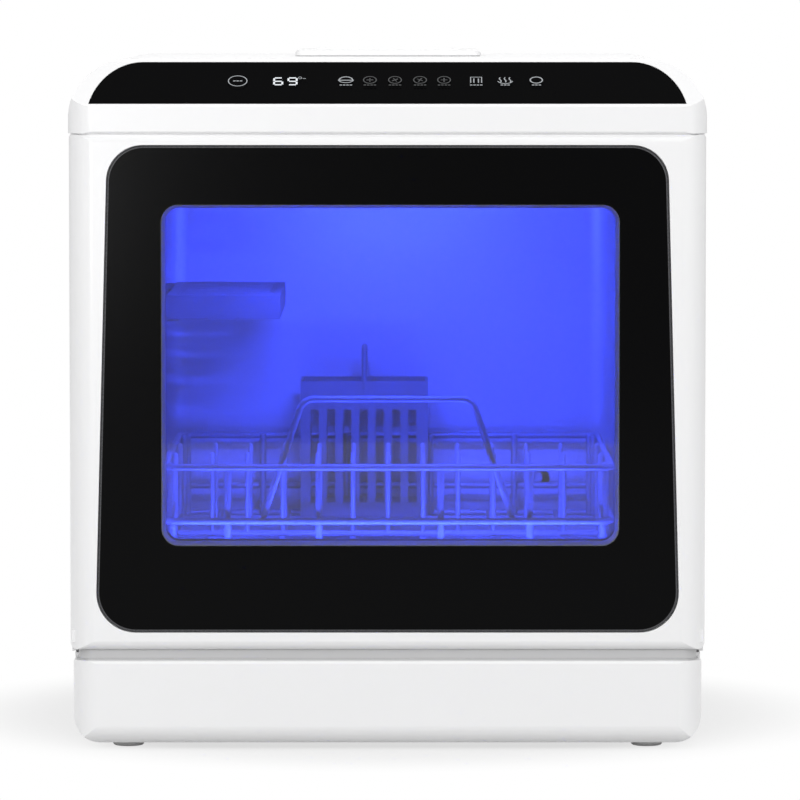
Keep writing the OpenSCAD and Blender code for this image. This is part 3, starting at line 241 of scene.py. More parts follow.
def turned(profile, centre, axis="z", sides=40, closed=False, wave=None):
    """A profile of (radius, height) turned about an axis: P(u, v) = c + r(u) (cos v, sin v) + h(u)
    along the axis. The wave is a function of v that scales the radius of the rows whose third
    value is 1."""
    r, h, waved = np.array([(*row, 0)[:3] for row in profile], float).T
    v = full_turn(sides)
    size = r[:, None] * (1 + waved[:, None] * ((wave(v) if wave else 1) - 1))
    P = np.stack([size * np.cos(v), size * np.sin(v), np.repeat(h[:, None], sides, 1)], -1)
    order = {"z": [0, 1, 2], "y": [0, 2, 1], "x": [2, 0, 1]}[axis]
    P = P[..., order] + np.asarray(centre, float)
    return grid(P, round_u=closed, ends="pole" if r[0] == 0 and r[-1] == 0 else "flat")


def tube(path, radius, normal, sides=14, closed=False, tip=5):
    """A round tube on a path: P(u, v) = path(u) + radius(u) (n cos v + b sin v), with n the normal
    made square to the path and b square to both. At open ends the radius falls off as a quarter
    circle, which makes a rounded tip."""
    path = np.asarray(path, float)
    along = directions(path, closed)
    size = np.full(len(path), float(radius))
    if not closed:
        q = quarter_turn(tip)[:-1]
        first, last = path[0] + along[0] * radius, path[-1] - along[-1] * radius
        lead = first - along[0] * (radius * np.cos(q))[:, None]
        tail = last + along[-1] * (radius * np.cos(q))[::-1, None]
        path = np.concatenate([lead, first[None], path[1:-1], last[None], tail])
        ends = [np.repeat(along[k][None], tip, 0) for k in (0, -1)]
        along = np.concatenate([ends[0], along, ends[1]])
        size = np.concatenate([radius * np.sin(q), size, radius * np.sin(q)[::-1]])
    n = np.broadcast_to(np.asarray(normal, float), path.shape)
    n = unit(n - (n * along).sum(1)[:, None] * along)
    b = np.cross(along, n)
    v = full_turn(sides)[None, :, None]
    P = path[:, None] + size[:, None, None] * (n[:, None] * np.cos(v) + b[:, None] * np.sin(v))
    return grid(P, round_u=closed, ends="pole")


ASKEW = (0.31, 0.77, 0.55)  # a direction that no wire runs in


def rod(a, b, radius, sides=12):
    """A straight tube with rounded tips, from a to b."""
    return tube([a, b], radius, np.cross(np.subtract(b, a), ASKEW), sides)


# %% [markdown]
# ## Materials
#
# One recipe makes them all: a fine noise in the object's own space varies the roughness and lifts
# the surface by a few hundredths of a millimetre, and a broad one varies the colour a little, so
# that moulded, painted, brushed and polished parts each get a grain.

# %% The recipe
BROAD_SCALE, BROAD_DETAIL = 9.0, 2.0
FINE_DETAIL = 3.0
NOISE_LOW, NOISE_HIGH = 0.3, 0.7  # where most values of the fine noise lie
LIFT_STRENGTH = 0.4


def new_node(tree, kind, inputs=None, **settings):
    """A new shader node, with its settings made before its inputs are given their values."""
    node = tree.nodes.new("ShaderNode" + kind)
    for key, value in settings.items():
        setattr(node, key, value)
    for key, value in (inputs or {}).items():
        node.inputs[key].default_value = value
    return node


def finish(
    name,
    colour,
    rough,
    metal=0.0,
    spread=0.03,
    wander=0.05,
    grain=700.0,
    bump=0.02,
    stretch=(1, 1, 1),
    **more,
):
    """Colour = colour (1 + spread m), roughness = rough + wander n and height = bump n, for a broad
    noise m and a fine noise n. What is in more goes to the shader's inputs of those names."""
    mat = bpy.data.materials.new(name)
    mat.use_nodes = True
    tree = mat.node_tree
    link = tree.links.new
    shader = tree.nodes["Principled BSDF"]
    shader.inputs["Metallic"].default_value = metal
    for key, value in more.items():
        shader.inputs[key.replace("_", " ")].default_value = value
    where = new_node(tree, "TexCoord")
    scale = new_node(tree, "Mapping", {"Scale": stretch})
    link(where.outputs["Object"], scale.inputs["Vector"])
    fine = new_node(tree, "TexNoise", {"Scale": grain, "Detail": FINE_DETAIL})
    link(scale.outputs["Vector"], fine.inputs["Vector"])
    broad = new_node(tree, "TexNoise", {"Scale": BROAD_SCALE, "Detail": BROAD_DETAIL})
    link(where.outputs["Object"], broad.inputs["Vector"])
    darker = [*(max(0.0, c * (1 - spread)) for c in colour), 1]
    lighter = [*(min(1.0, c * (1 + spread)) for c in colour), 1]
    tint = new_node(tree, "Mix", {"A": darker, "B": lighter}, data_type="RGBA")
    link(broad.outputs["Fac"], tint.inputs["Factor"])
    link(tint.outputs["Result"], shader.inputs["Base Color"])
    span = {"From Min": NOISE_LOW, "From Max": NOISE_HIGH}
    span |= {"To Min": max(0.0, rough - wander), "To Max": min(1.0, rough + wander)}
    level = new_node(tree, "MapRange", span)
    link(fine.outputs["Fac"], level.inputs["Value"])
    link(level.outputs["Result"], shader.inputs["Roughness"])
    if bump:
        lift = new_node(tree, "Bump", {"Strength": LIFT_STRENGTH, "Distance": bump * MM})
        link(fine.outputs["Fac"], lift.inputs["Height"])
        link(lift.outputs["Normal"], shader.inputs["Normal"])
    return mat


# %% White, black and clear finishes
gloss_white = finish(
    "gloss_white",
    (0.87, 0.87, 0.875),
    0.3,
    spread=0.006,
    wander=0.015,
    bump=0.002,
    Coat_Weight=0.1,
    Coat_Roughness=0.12,
)
satin_white = finish(
    "satin_white", (0.86, 0.86, 0.865), 0.4, spread=0.01, wander=0.03, bump=0.01, grain=1400
)
inner_white = finish("inner_white", (0.78, 0.78, 0.77), 0.5, bump=0.03)
black_print = finish(
    "black_print",
    (0.0012, 0.0012, 0.0014),
    0.16,
    spread=0.1,
    wander=0.02,
    bump=0.0,
    Specular_IOR_Level=0.06,
)
panel_black = finish(
    "panel_black",
    (0.001, 0.001, 0.0012),
    0.2,
    spread=0.1,
    wander=0.03,
    bump=0.0,
    Specular_IOR_Level=0.02,
)
pane = finish(
    "pane",
    (0.55, 0.55, 0.56),
    0.012,
    spread=0.01,
    wander=0.006,
    bump=0.0,
    Transmission_Weight=1.0,
    IOR=1.45,
)
ground_edge = finish("ground_edge", (0.06, 0.06, 0.065), 0.28, bump=0.02)

# %% Plastics and rubbers
black_plastic = finish(
    "black_plastic", (0.012, 0.012, 0.013), 0.45, spread=0.2, bump=0.04, grain=1500
)
dark_plastic = finish(
    "dark_plastic", (0.045, 0.046, 0.05), 0.5, spread=0.15, bump=0.04, grain=1300
)
grey_plastic = finish(
    "grey_plastic", (0.42, 0.43, 0.45), 0.45, spread=0.05, bump=0.04, grain=1200
)
# Painted shade: this grey stands in for the shadow in the recess under the door, on the two groove
# strips.
painted_groove_shade = finish(
    "painted_groove_shade", (0.52, 0.52, 0.525), 0.5, spread=0.02, bump=0.03, grain=1200
)
rack_plastic = finish(
    "rack_plastic", (0.13, 0.135, 0.15), 0.45, spread=0.05, bump=0.04, grain=1200
)
tank_plastic = finish(
    "tank_plastic", (0.72, 0.8, 0.86), 0.35, spread=0.04, bump=0.03, Transmission_Weight=0.3
)
float_yellow = finish("float_yellow", (0.75, 0.55, 0.06), 0.45, bump=0.03)
board = finish("board", (0.02, 0.13, 0.06), 0.4, spread=0.2, bump=0.02)
seal_rubber = finish("seal_rubber", (0.09, 0.09, 0.095), 0.62, spread=0.1, bump=0.05, grain=1600)
foot_rubber = finish("foot_rubber", (0.84, 0.84, 0.84), 0.7, spread=0.1, bump=0.06, grain=1600)

# %% Metals
bezel_metal = finish(
    "bezel_metal", (0.5, 0.52, 0.58), 0.32, metal=0.6, stretch=(1, 1, 12), bump=0.01
)
steel = finish(
    "steel",
    (0.56, 0.57, 0.58),
    0.3,
    metal=1.0,
    spread=0.04,
    grain=260,
    stretch=(1, 1, 18),
    bump=0.012,
)
tub_steel = finish(
    "tub_steel",
    (0.5, 0.51, 0.53),
    0.42,
    metal=0.35,
    spread=0.05,
    grain=240,
    stretch=(14, 1, 1),
    bump=0.01,
)
wire_coat = finish(
    "wire_coat", (0.3, 0.32, 0.36), 0.3, metal=0.2, spread=0.05, bump=0.03, grain=900
)

# %% What glows
BLUE = (0.03, 0.06, 1.0)
COOL = (0.8, 0.9, 1.0)


def glowing(name, colour, light, strength):
    """A smooth finish that also gives off light."""
    glow = {"Emission_Color": (*light, 1), "Emission_Strength": strength}
    return finish(name, colour, 0.4, bump=0.0, **glow)


lamp_glow = glowing("lamp_glow", (0.3, 0.35, 0.9), BLUE, 9.0)
sign_light = glowing("sign_light", (0.22, 0.22, 0.22), COOL, 0.2)
sign_dim = glowing("sign_dim", (0.04, 0.04, 0.04), COOL, 0.02)
digit_light = glowing("digit_light", (0.5, 0.5, 0.5), COOL, 0.4)

# %% A finish for every node
DRESS = {
    gloss_white: "door_frame front_fascia kick_panel fill_lid",
    satin_white: "left_side_panel right_side_panel top_cover base_tray back_panel hinge_brackets",
    inner_white: "fill_funnel inlet_valve detergent_cup",
    panel_black: "control_glass",
    black_print: "outer_glass",
    pane: "inner_glass",
    bezel_metal: "window_bezel",
    black_plastic: "door_core display_module latch_housing wash_pump drain_pump drying_fan "
    "cord_gland",
    dark_plastic: "sump feed_pipe riser_hose lower_arm_post upper_arm_post drain_hose sump_filter "
    "fan_impeller",
    rack_plastic: "cutlery_basket cup_shelf",
    grey_plastic: "lower_spray_arm upper_spray_arm wash_impeller drain_impeller inlet_hose "
    "fill_hose",
    tank_plastic: "water_tank",
    steel: "door_liner door_striker hinge_pins case_screws lid_pin fill_strainer latch_hook "
    "sump_heater basket_rails shelf_bracket",
    tub_steel: "tub",
    wire_coat: "dish_basket basket_handle",
    seal_rubber: "tub_gasket",
    foot_rubber: "feet",
    board: "control_board main_board",
    float_yellow: "leak_float",
    lamp_glow: "chamber_lamp",
}
for mat, names in DRESS.items():
    for name in names.split():
        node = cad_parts[name]
        node.data.materials.clear()
        node.data.materials.append(mat)
dressed = set(" ".join(DRESS.values()).split())
print("nodes without a finish:", sorted(set(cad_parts) - dressed))

# %% [markdown]
# ## The door glass
#
# The outer glass is printed black round the window. Its ground edge is a bevel in two steps, which
# catches the light along the top and the left. The window itself is a clear plate in the same
# thickness, with a sloping ring behind it.

# %% Outlines of the glass and the window
glass_low, glass_high = cad("outer_glass")
bezel_low, bezel_high = cad("window_bezel")
GLASS_HALF_LOW, GLASS_HALF_HIGH = 192.0, 183.5
GLASS_R, GLASS_R_TOP_LESS, GLASS_R_LEAST = 26.0, 1.9, 1.0
GLASS_FRONT, GLASS_BACK = glass_low[1], glass_high[1]
WINDOW_R = 11.5
ARC_STEPS = 14
BEVEL = 1.5
PRINT_STEP = 1  # a narrow row beside each edge of the print, which keeps the shading flat
WINDOW_GAP = 0.05


def glass_outline(s):
    """The glass outline, a tall trapezium with round corners, drawn in by s."""
    low, high = glass_low[2] + s, glass_high[2] - s
    a, b, r = GLASS_HALF_LOW - s, GLASS_HALF_HIGH - s, max(GLASS_R - s, GLASS_R_LEAST)
    radii = [r, r, r - GLASS_R_TOP_LESS, r - GLASS_R_TOP_LESS]
    return bend([(-a, low), (a, low), (b, high), (-b, high)], radii, ARC_STEPS, closed=True)


window_outline = rounded(
    bezel_low[0], bezel_low[2], bezel_high[0], bezel_high[2], WINDOW_R, ARC_STEPS
)

# %% The printed border, the bevel, the clear window and the ring behind it
border_lines = [window_outline(0), window_outline(-PRINT_STEP)]
border_lines += [glass_outline(BEVEL + PRINT_STEP), glass_outline(BEVEL)]
border_rows = [upright(line, GLASS_FRONT) for line in border_lines]
border_rows += [upright(line, GLASS_BACK) for line in reversed(border_lines)]
border = build("glass_border", grid(np.stack(border_rows), round_u=True))
place(border, black_print, "door", "black_glass", "outer_glass")


def ring_sweep(outline, front, rows):
    """A closed sweep through rows of (inset, depth behind the front)."""
    return sweep(outline, [(s, front + y) for s, y in rows], closed=True)


BEVEL_ROWS = [(BEVEL, 0.0), (0.95, 0.12), (0.8, 0.3), (0.15, 0.75), (0, 1.0), (0, 4.0)]
BEVEL_ROWS += [(BEVEL, 4.0)]
bevel = build("glass_bevel", ring_sweep(glass_outline, GLASS_FRONT, BEVEL_ROWS))
place(bevel, ground_edge, "door", "black_glass")

window_rows = [(WINDOW_GAP, GLASS_FRONT), (WINDOW_GAP, GLASS_BACK)]
window = build("glass_window", sweep(window_outline, window_rows))
place(window, pane, "door", "clear_glass")

RING_ROWS = [(0, 0.1), (0.5, 0.1), (1.6, 2.2), (2.2, 3.9), (2.5, 4.6), (2.5, 8), (0, 8)]
ring = build("window_ring", ring_sweep(window_outline, bezel_low[1], RING_ROWS))
place(ring, bezel_metal, "door", "bezel_grey", "window_bezel")

# %% [markdown]
# ## The basket
#
# Coated wire: three closed hoops, a floor grid, uprights and two combs of plate tines, each a tube
# with rounded tips, and a bail handle at the front.

# %% Measures of the basket
WIRE, CROSS_WIRE, TINE = 2.25, 1.8, 1.6
basket_low, basket_high = cad("dish_basket")
bail_low, bail_high = cad("basket_handle")
HALF, Y0, Y1 = basket_high[0] - WIRE, basket_low[1] + WIRE, basket_high[1] - WIRE
FLOOR, MIDDLE, RIM = basket_low[2] + WIRE, bail_low[2] + 2.9, basket_high[2] - 4
HOOP_R = 12
POST = WIRE * 1.7  # how far inside the hoops an upright stands
CORNER_POST = HOOP_R - (HOOP_R - POST) * math.cos(math.pi / 4)
FRONT_POSTS, BACK_POSTS = (-107, -46, 35.5, 95), (-90, -30, 30, 90)
SIDE_POSTS = (Y0 + 20, Y0 + 110, Y0 + 200, Y1 - 20)
LONG_WIRES = (-120, -72, -24, 24, 72, 120)
BAYS = 7
CROSS_AT, COMBS_AT = (1, 3, 5, 6), (2, 4)
TINE_STEP, TINES_A_SIDE = 24, 5


def bay_y(k):
    """The y of the k-th line across the basket."""
    return Y0 + k * ((Y1 - Y0) / BAYS)


# %% Basket wires
hoop_line = rounded(-HALF, Y0, HALF, Y1, HOOP_R, 8)(0)
wires = [tube(lying(hoop_line, z), WIRE, (0, 0, 1), closed=True) for z in (FLOOR, MIDDLE, RIM)]
uprights = [(x, Y0 + POST) for x in FRONT_POSTS] + [(x, Y1 - POST) for x in BACK_POSTS]
uprights += [(s * (HALF - POST), y) for y in SIDE_POSTS for s in (-1, 1)]
corner_ys = (Y0 + CORNER_POST, Y1 - CORNER_POST)
uprights += [(s * (HALF - CORNER_POST), y) for y in corner_ys for s in (-1, 1)]
wires += [rod((x, y, FLOOR - 2), (x, y, RIM + 2), WIRE) for x, y in uprights]
wires += [rod((x, Y0 - 1, FLOOR), (x, Y1 + 1, FLOOR), WIRE) for x in LONG_WIRES]
for y in map(bay_y, CROSS_AT):
    wires.append(rod((-HALF - 1, y, FLOOR - 0.4), (HALF + 1, y, FLOOR - 0.4), CROSS_WIRE))
for y in map(bay_y, COMBS_AT):
    wires.append(rod((6 - HALF, y, FLOOR + 4), (HALF - 6, y, FLOOR + 4), CROSS_WIRE))
    for k in range(-TINES_A_SIDE, TINES_A_SIDE + 1):
        x = TINE_STEP * k
        wires.append(rod((x, y, FLOOR + 3), (x, y, RIM + 4), TINE))
place(build("basket_wires", *wires), wire_coat, "basket", "bright_wire", "dish_basket")

# %% The bail
BAIL_FOOT, BAIL_TURN, BAIL_R = 84.5, 56.5, 10
bail_top, bail_foot = bail_high[2] - WIRE, MIDDLE - 2
bail_y = (bail_low[1] + bail_high[1]) / 2
half_bail = [(BAIL_TURN, bail_y, bail_top), (BAIL_FOOT, bail_y, bail_foot)]
bail_path = [(-x, y, z) for x, y, z in reversed(half_bail)] + half_bail
bail = build("basket_bail", tube(bend(bail_path, BAIL_R, 10), WIRE, (0, 1, 0), sides=18))
place(bail, wire_coat, "basket", "bright_wire", "basket_handle")

# %% [markdown]
# ## Spray arms
#
# A blade is a long flat form with round ends: at a distance u from the hub its half width is w(u)
# and its half thickness h(u), so P(u, v) = (u, w cos v, m + h sin v) about its middle height m,
# with the sine raised to a power that squares the edge. A hub and a row of jets finish it.

# %% Blades, hubs and jets
BLADE_SHORT = 3.5  # half the box's diagonal is that much longer than the blade
BLADE_TIP, BLADE_SWELL = 8.5, 5.5
BLADE_MIDDLE, BLADE_THICK, EDGE_POWER, END_POWER = 7, 3.8, 0.7, 10
HUB = [(9.06, 0.6), (9.6, 0), (15.2, 0), (16, 0.8), (16, 11), (13.6, 14.2), (12, 15), (9.6, 15)]
HUB += [(9.06, 14.4)]
JET = [(1.1, 10), (2.8, 10), (2.5, 11.6), (2.1, 12), (1.3, 12), (1.1, 11.7)]
JET_FIRST, JET_STEP, JET_END, JET_OFFSET = 34, 24, 8, 3


def blade(reach):
    """The flat form of an arm that reaches as far to both sides."""
    u = reach * np.sin(np.linspace(-math.pi / 2, math.pi / 2, 41))[:, None]
    v = full_turn(28)[None, :]
    end = np.sqrt(np.clip(1 - np.abs(u / reach) ** END_POWER, 0, 1))
    width = (BLADE_TIP + BLADE_SWELL * (1 - np.abs(u) / reach)) * end
    rise = BLADE_THICK * end * np.sign(np.sin(v)) * np.abs(np.sin(v)) ** EDGE_POWER
    return grid(np.stack([u + 0 * v, width * np.cos(v), BLADE_MIDDLE + rise], -1), ends="pole")


def spray_arm(name, body, spin, over):
    """One arm, turned by the angle spin and, for the arm under the ceiling, over on its back."""
    low, high = cad(name)
    reach = math.hypot(high[0] - low[0], high[1] - low[1]) / 2 - BLADE_SHORT
    parts = [blade(reach), turned(HUB, (0, 0, 0), closed=True)]
    for d in range(JET_FIRST, int(reach) - JET_END, JET_STEP):
        for s in (-1, 1):
            parts.append(turned(JET, (s * d, s * JET_OFFSET, 0), sides=16, closed=True))
    cos, sin = math.cos(spin), math.sin(spin)
    turn = np.array([[cos, sin, 0], [-sin, cos, 0], [0, 0, 1]])
    flip = np.diag([1.0, -1.0, -1.0] if over else [1.0, 1.0, 1.0])
    centre = [(low[0] + high[0]) / 2, (low[1] + high[1]) / 2, high[2] if over else low[2]]
    parts = [(verts @ flip @ turn + centre, faces) for verts, faces in parts]
    place(build(name + "_form", *parts), grey_plastic, body, "grey_plastic", name)


spray_arm("lower_spray_arm", "lower_arm", math.radians(28), False)
spray_arm("upper_spray_arm", "upper_arm", math.radians(64), True)

# %% [markdown]
# ## The lid, the seal, the feet, the screws and the connections

# %% Filling lid
lid_low, lid_high = cad("fill_lid")
pin_low, pin_high = cad("lid_pin")
pin_y, pin_z = (pin_low[1] + pin_high[1]) / 2, (pin_low[2] + pin_high[2]) / 2
LID_HALF, LID_BOTTOM, LID_BACK, LID_TOP = lid_high[0], lid_low[2], pin_y - 5, pin_z + 2
LID_R, LID_EDGE, LID_RIM = 7, 3.2, 8
DISH_FROM, DISH_TO, DISH_DEEP = 13, 14.5, 0.35
KNUCKLE_BORE, KNUCKLE_R, KNUCKLE_LONG = 1.28, 2.0, 5.5
KNUCKLES = (LID_HALF - 26, LID_HALF - 14.5)

lid_outline = rounded(-LID_HALF, lid_low[1], LID_HALF, LID_BACK, LID_R, 8)
lid_rows = [(LID_RIM, LID_BOTTOM + 1.8), (LID_RIM, LID_BOTTOM)]
lid_rows += [(0.4, LID_BOTTOM), (0, LID_BOTTOM + 0.5)]
lid_rows += [(s, LID_TOP - t) for s, t in reversed(round_edge(LID_EDGE, 6))]
lid_rows += [(DISH_FROM, LID_TOP), (DISH_TO, LID_TOP - DISH_DEEP)]
lid_parts = [sweep(lid_outline, lid_rows, "top")]
arm = rounded(LID_BACK - 1, LID_BOTTOM + 0.5, pin_y - 1.6, pin_z + 1.6, 0.6, 3)
for x in KNUCKLES:
    for x0 in (x, -x - KNUCKLE_LONG):
        x1 = x0 + KNUCKLE_LONG
        knuckle = [(KNUCKLE_BORE, x0), (KNUCKLE_R, x0), (KNUCKLE_R, x1), (KNUCKLE_BORE, x1)]
        lid_parts.append(turned(knuckle, (0, pin_y, pin_z), "x", 24, closed=True))
        lid_parts.append(sweep(arm, soft(x0, x1, 0.3, 2), "side"))
place(build("lid", *lid_parts), gloss_white, "lid", "white_gloss", "fill_lid")

# %% Strips that line the gaps above and below the door; the two in the groove under the door are grey as painted shade
door_low, door_high = cad("door_frame")
door_bottom, door_top = door_low[2], door_high[2]
kick_top, fascia_bottom = cad("kick_panel")[1][2], cad("front_fascia")[0][2]
EDGE_R, EDGE_BACK = 16, 17.0  # the radius of the door's upright edges, and where they are over


def strip(name, material, body, slot, inset, thick, low, high, back=EDGE_BACK, edge=0.1):
    """A band that follows the door's front edge round its corners: P(u, v) is the edge path at u,
    drawn in by the inset and by v's share of the thickness, at v's height. It ends where the path
    passes the back limit."""

    def path(i):
        a, f = door_high[0] - i, door_low[1] + i
        return bend([(-a, EDGE_BACK), (-a, f), (a, f), (a, EDGE_BACK)], EDGE_R - i, 12)

    keep = path(inset)[:, 1] <= back
    rows = [(0, low), (0, high - edge), (edge, high), (thick, high), (thick, low)]
    P = np.stack([lying(path(inset + t)[keep], z) for t, z in rows], 1)
    place(build(name, grid(P)), material, body, slot)


lip_low, lip_high = door_top + 0.06, fascia_bottom + 0.02
band_low, band_high = door_bottom, door_bottom + 6.1
foot_low, foot_high = kick_top - 0.1, door_bottom - 0.1
# The grey pair is painted shade: a flat grey finish that stands in for the shadow in the groove
# under the door, not a grey part.
white, painted_shade = (gloss_white, "white_gloss"), (painted_groove_shade, "grey_plastic")
for name, (material, slot), body, inset, thick, low, high, limits in (
    ("door_lip", white, "door", 1.2, 4.0, door_top - 3, door_top, {"edge": 0.6}),
    ("fascia_lip", white, "cabinet", 1.6, 1.0, lip_low, lip_high, {"edge": 0.02}),
    # The two groove strips are grey sheets that paint the shade of the recess between door and kick
    # panel.
    ("groove_shade_band", painted_shade, "door", 5.1, 0.45, band_low, band_high, {"back": 13.9}),
    ("groove_shade_foot", painted_shade, "cabinet", 4.5, 0.9, foot_low, foot_high, {}),
):
    strip(name, material, body, slot, inset, thick, low, high, **limits)

# %% Door seal
seal_low, seal_high = cad("tub_gasket")
SEAL_R = 19
SEAL_ROWS = [(0, 3.8), (0.3, 2.2), (1.1, 0.9), (2.3, 0.2), (3.5, 0.05), (4.7, 0.4), (5.8, 1.3)]
SEAL_ROWS += [(6.7, 2.6), (7, 3.8)]
seal_outline = rounded(seal_low[0], seal_low[2], seal_high[0], seal_high[2], SEAL_R, 10)
seal = build("seal_lip", ring_sweep(seal_outline, seal_low[1], SEAL_ROWS), crease=60)
place(seal, seal_rubber, "cabinet", "seal_rubber", "tub_gasket")

# %% Feet
feet_low, feet_high = cad("feet")
FOOT_R = 10.5
FOOT = [(0, 0), (8.6, 0), (9.5, 0.25), (10.1, 0.8), (10.4, 1.5), (10.1, 1.9), (10.1, 2.3)]
FOOT += [(FOOT_R, 2.7), (FOOT_R, 3.7), (10.2, 3.95), (3.9, 3.95), (3.9, feet_high[2])]
FOOT += [(0, feet_high[2])]
foot_xs, foot_ys = [(feet_low[k] + FOOT_R, feet_high[k] - FOOT_R) for k in (0, 1)]
foot_forms = [turned(FOOT, (x, y, 0), sides=48) for x in foot_xs for y in foot_ys]
place(build("rubber_feet", *foot_forms), foot_rubber, "cabinet", "foot_rubber", "feet")

# %% Screws in the back, with a cross recess
BACK = 420.0  # the outer face of the back panel
CASING_TOP = 406.0
SCREW_R = 3.4
SCREW = [(0, -8), (1.5, -8), (1.5, 0.05), (SCREW_R, 0.05), (SCREW_R, 0.5), (3.1, 1.1)]
SCREW += [(2.5, 1.55), (2.1, 1.7), (1.7, 1.78, 1), (1.6, 0.9, 1), (0, 0.8)]
screws_high = cad("case_screws")[1]
screw_x, screw_top = screws_high[0] - SCREW_R, screws_high[2] - SCREW_R
side_zs = (90, CASING_TOP / 2 + 29, CASING_TOP - 32)
screw_spots = [(s * screw_x, z) for z in side_zs for s in (-1, 1)]
screw_spots += [(s * 120, screw_top) for s in (-1, 1)]


def cross(v):
    """The radius of a rounded cross: 0.35 + 0.65 |cos 2v|^4."""
    return 0.35 + 0.65 * np.abs(np.cos(2 * v)) ** 4


screw_forms = [turned(SCREW, (x, BACK, z), "y", 48, wave=cross) for x, z in screw_spots]
screws = build("back_screws", *screw_forms, crease=30)
place(screws, steel, "cabinet", "steel", "case_screws")

# %% Threaded water inlet
valve_low, valve_high = cad("inlet_valve")
VALVE_X, VALVE_Z, VALVE_END = 110.0, 45.0, valve_high[1]
ROOT_R, CREST, FADE_FROM, FADE_LONG = 12.3, 0.85, 1.2, 1.5
TURNS, ROWS_A_TURN, COLUMNS = 6, 8, 24
BODY_HALF, BODY_END, NECK = 18, BACK - 20.5, BACK - 20
BORE = [(11.6, VALVE_END), (10.3, VALVE_END), (10.2, VALVE_END - 17), (3, VALVE_END - 17)]
BORE += [(3, NECK), (ROOT_R, NECK)]
COIL = [(0, 0), (10.2, 0), (11, 0.8), (11, 19.2), (10.2, 20), (5.2, 20), (5.2, 21), (0, 21)]
COIL_Y, STAND_HALF, STAND_FRONT, STAND_BACK = 400.5, 10, 391.5, 411.5

angle = full_turn(COLUMNS)[None, :]
deep = np.linspace(BACK + 0.3, VALVE_END - 0.3, TURNS * ROWS_A_TURN)[:, None]
pitch = (VALVE_END - BACK - 2.5) / TURNS
fade = np.clip((VALVE_END - FADE_FROM - deep) / FADE_LONG, 0, 1)
radius = ROOT_R + CREST * fade * (0.5 + 0.5 * np.cos(2 * math.pi * deep / pitch - angle))
thread = np.stack([radius * np.cos(angle), deep + 0 * angle, radius * np.sin(angle)], -1)
ring_of_one = np.column_stack([np.cos(angle[0]), np.sin(angle[0])])
bore = np.stack([upright(r * ring_of_one, y) for r, y in BORE])
spigot = np.concatenate([thread, bore]) + [VALVE_X, 0, VALVE_Z]
body_box = [v + s * BODY_HALF for s in (-1, 1) for v in (VALVE_X, VALVE_Z)]
valve = [grid(spigot, round_u=True)]
valve.append(sweep(rounded(*body_box, 3, 4), soft(valve_low[1], BODY_END, 1.5, 3)))
valve.append(turned(COIL, (VALVE_X - 4, COIL_Y, VALVE_Z + 17), sides=32))
stand = rounded(VALVE_X - STAND_HALF, STAND_FRONT, VALVE_X + STAND_HALF, STAND_BACK, 2, 4)
valve.append(sweep(stand, [(0, valve_low[2]), (0, VALVE_Z - 17)], "top"))
place(build("threaded_inlet", *valve), inner_white, "cabinet", "white_matte", "inlet_valve")

# %% Cord gland with a ribbed collar
gland_low, gland_high = cad("cord_gland")
GLAND = (-170.0, 0.0, 45.0)
GLAND_BORE, GLAND_R = 3.75, 11
gland_front, gland_back = gland_low[1], gland_high[1]
collar = [(GLAND_BORE, gland_front), (10.4, gland_front), (GLAND_R, gland_front + 0.6)]
collar += [(GLAND_R, BACK - 3), (10.4, BACK - 2.6), (7.9, BACK - 2.6), (7.9, BACK + 0.1)]
collar += [(GLAND_R, BACK + 0.1), (GLAND_R, BACK + 1.6), (10, BACK + 2), (10, BACK + 2.4)]
collar += [(9.2, BACK + 2.8), (9.2, BACK + 3.4), (8, BACK + 4)]
collar += [(7.6, gland_back), (GLAND_BORE, gland_back)]
gland = build("ribbed_gland", turned(collar, GLAND, "y", 40, closed=True))
place(gland, black_plastic, "cabinet", "black_plastic", "cord_gland")

# %% [markdown]
# ## Signs on the control panel
#
# The panel lies on a slope, so the signs are drawn in its plane, x to the right and s up the
# slope, as thin strokes that stand a few hundredths proud: a ring, a two-digit number and eight
# plain figures, each over a short dashed line.

# %% Strokes on the slope
SLOPE_RUN, SLOPE_RISE = 42.0, 27.5
SLOPE = math.atan2(SLOPE_RISE, SLOPE_RUN)
SLOPE_Y, SLOPE_Z = 1.5, cad("control_glass")[0][2] - 0.5 + 2 * math.cos(SLOPE)
STROKE_LOW, STROKE_HIGH = 0.01, 0.05


def on_slope(flat, lift):
    """(x, s) in the panel's plane to (x, y, z): the plane's point, then up by the lift along its
    normal."""
    x, s = np.asarray(flat, float).T
    y = SLOPE_Y + s * math.cos(SLOPE) - lift * math.sin(SLOPE)
    return np.stack([x, y, SLOPE_Z + s * math.sin(SLOPE) + lift * math.cos(SLOPE)], -1)


def stroke(points, width=0.55, closed=False):
    """A flat band along a path: its four corner rows are the path moved half the width to each
    side, low and high."""
    p = np.asarray(points, float)
    t = directions(p, closed)
    side = np.stack([-t[:, 1], t[:, 0]], -1) * width / 2
    rows = [(side, STROKE_LOW), (side, STROKE_HIGH), (-side, STROKE_HIGH), (-side, STROKE_LOW)]
    return grid(np.stack([on_slope(p + shift, lift) for shift, lift in rows], 1), round_u=closed)


def oval(x, s, a, b, start=0, stop=360, n=28):
    """Points (x + a cos t, s + b sin t)."""
    full = abs(stop - start) >= 360
    t = np.radians(np.linspace(start, stop, n, endpoint=not full))
    return np.stack([x + a * np.cos(t), s + b * np.sin(t)], -1)


DIGIT_W, DIGIT_H, BAR, BAR_GAP = 5.4, 8.0, 1.25, 0.45


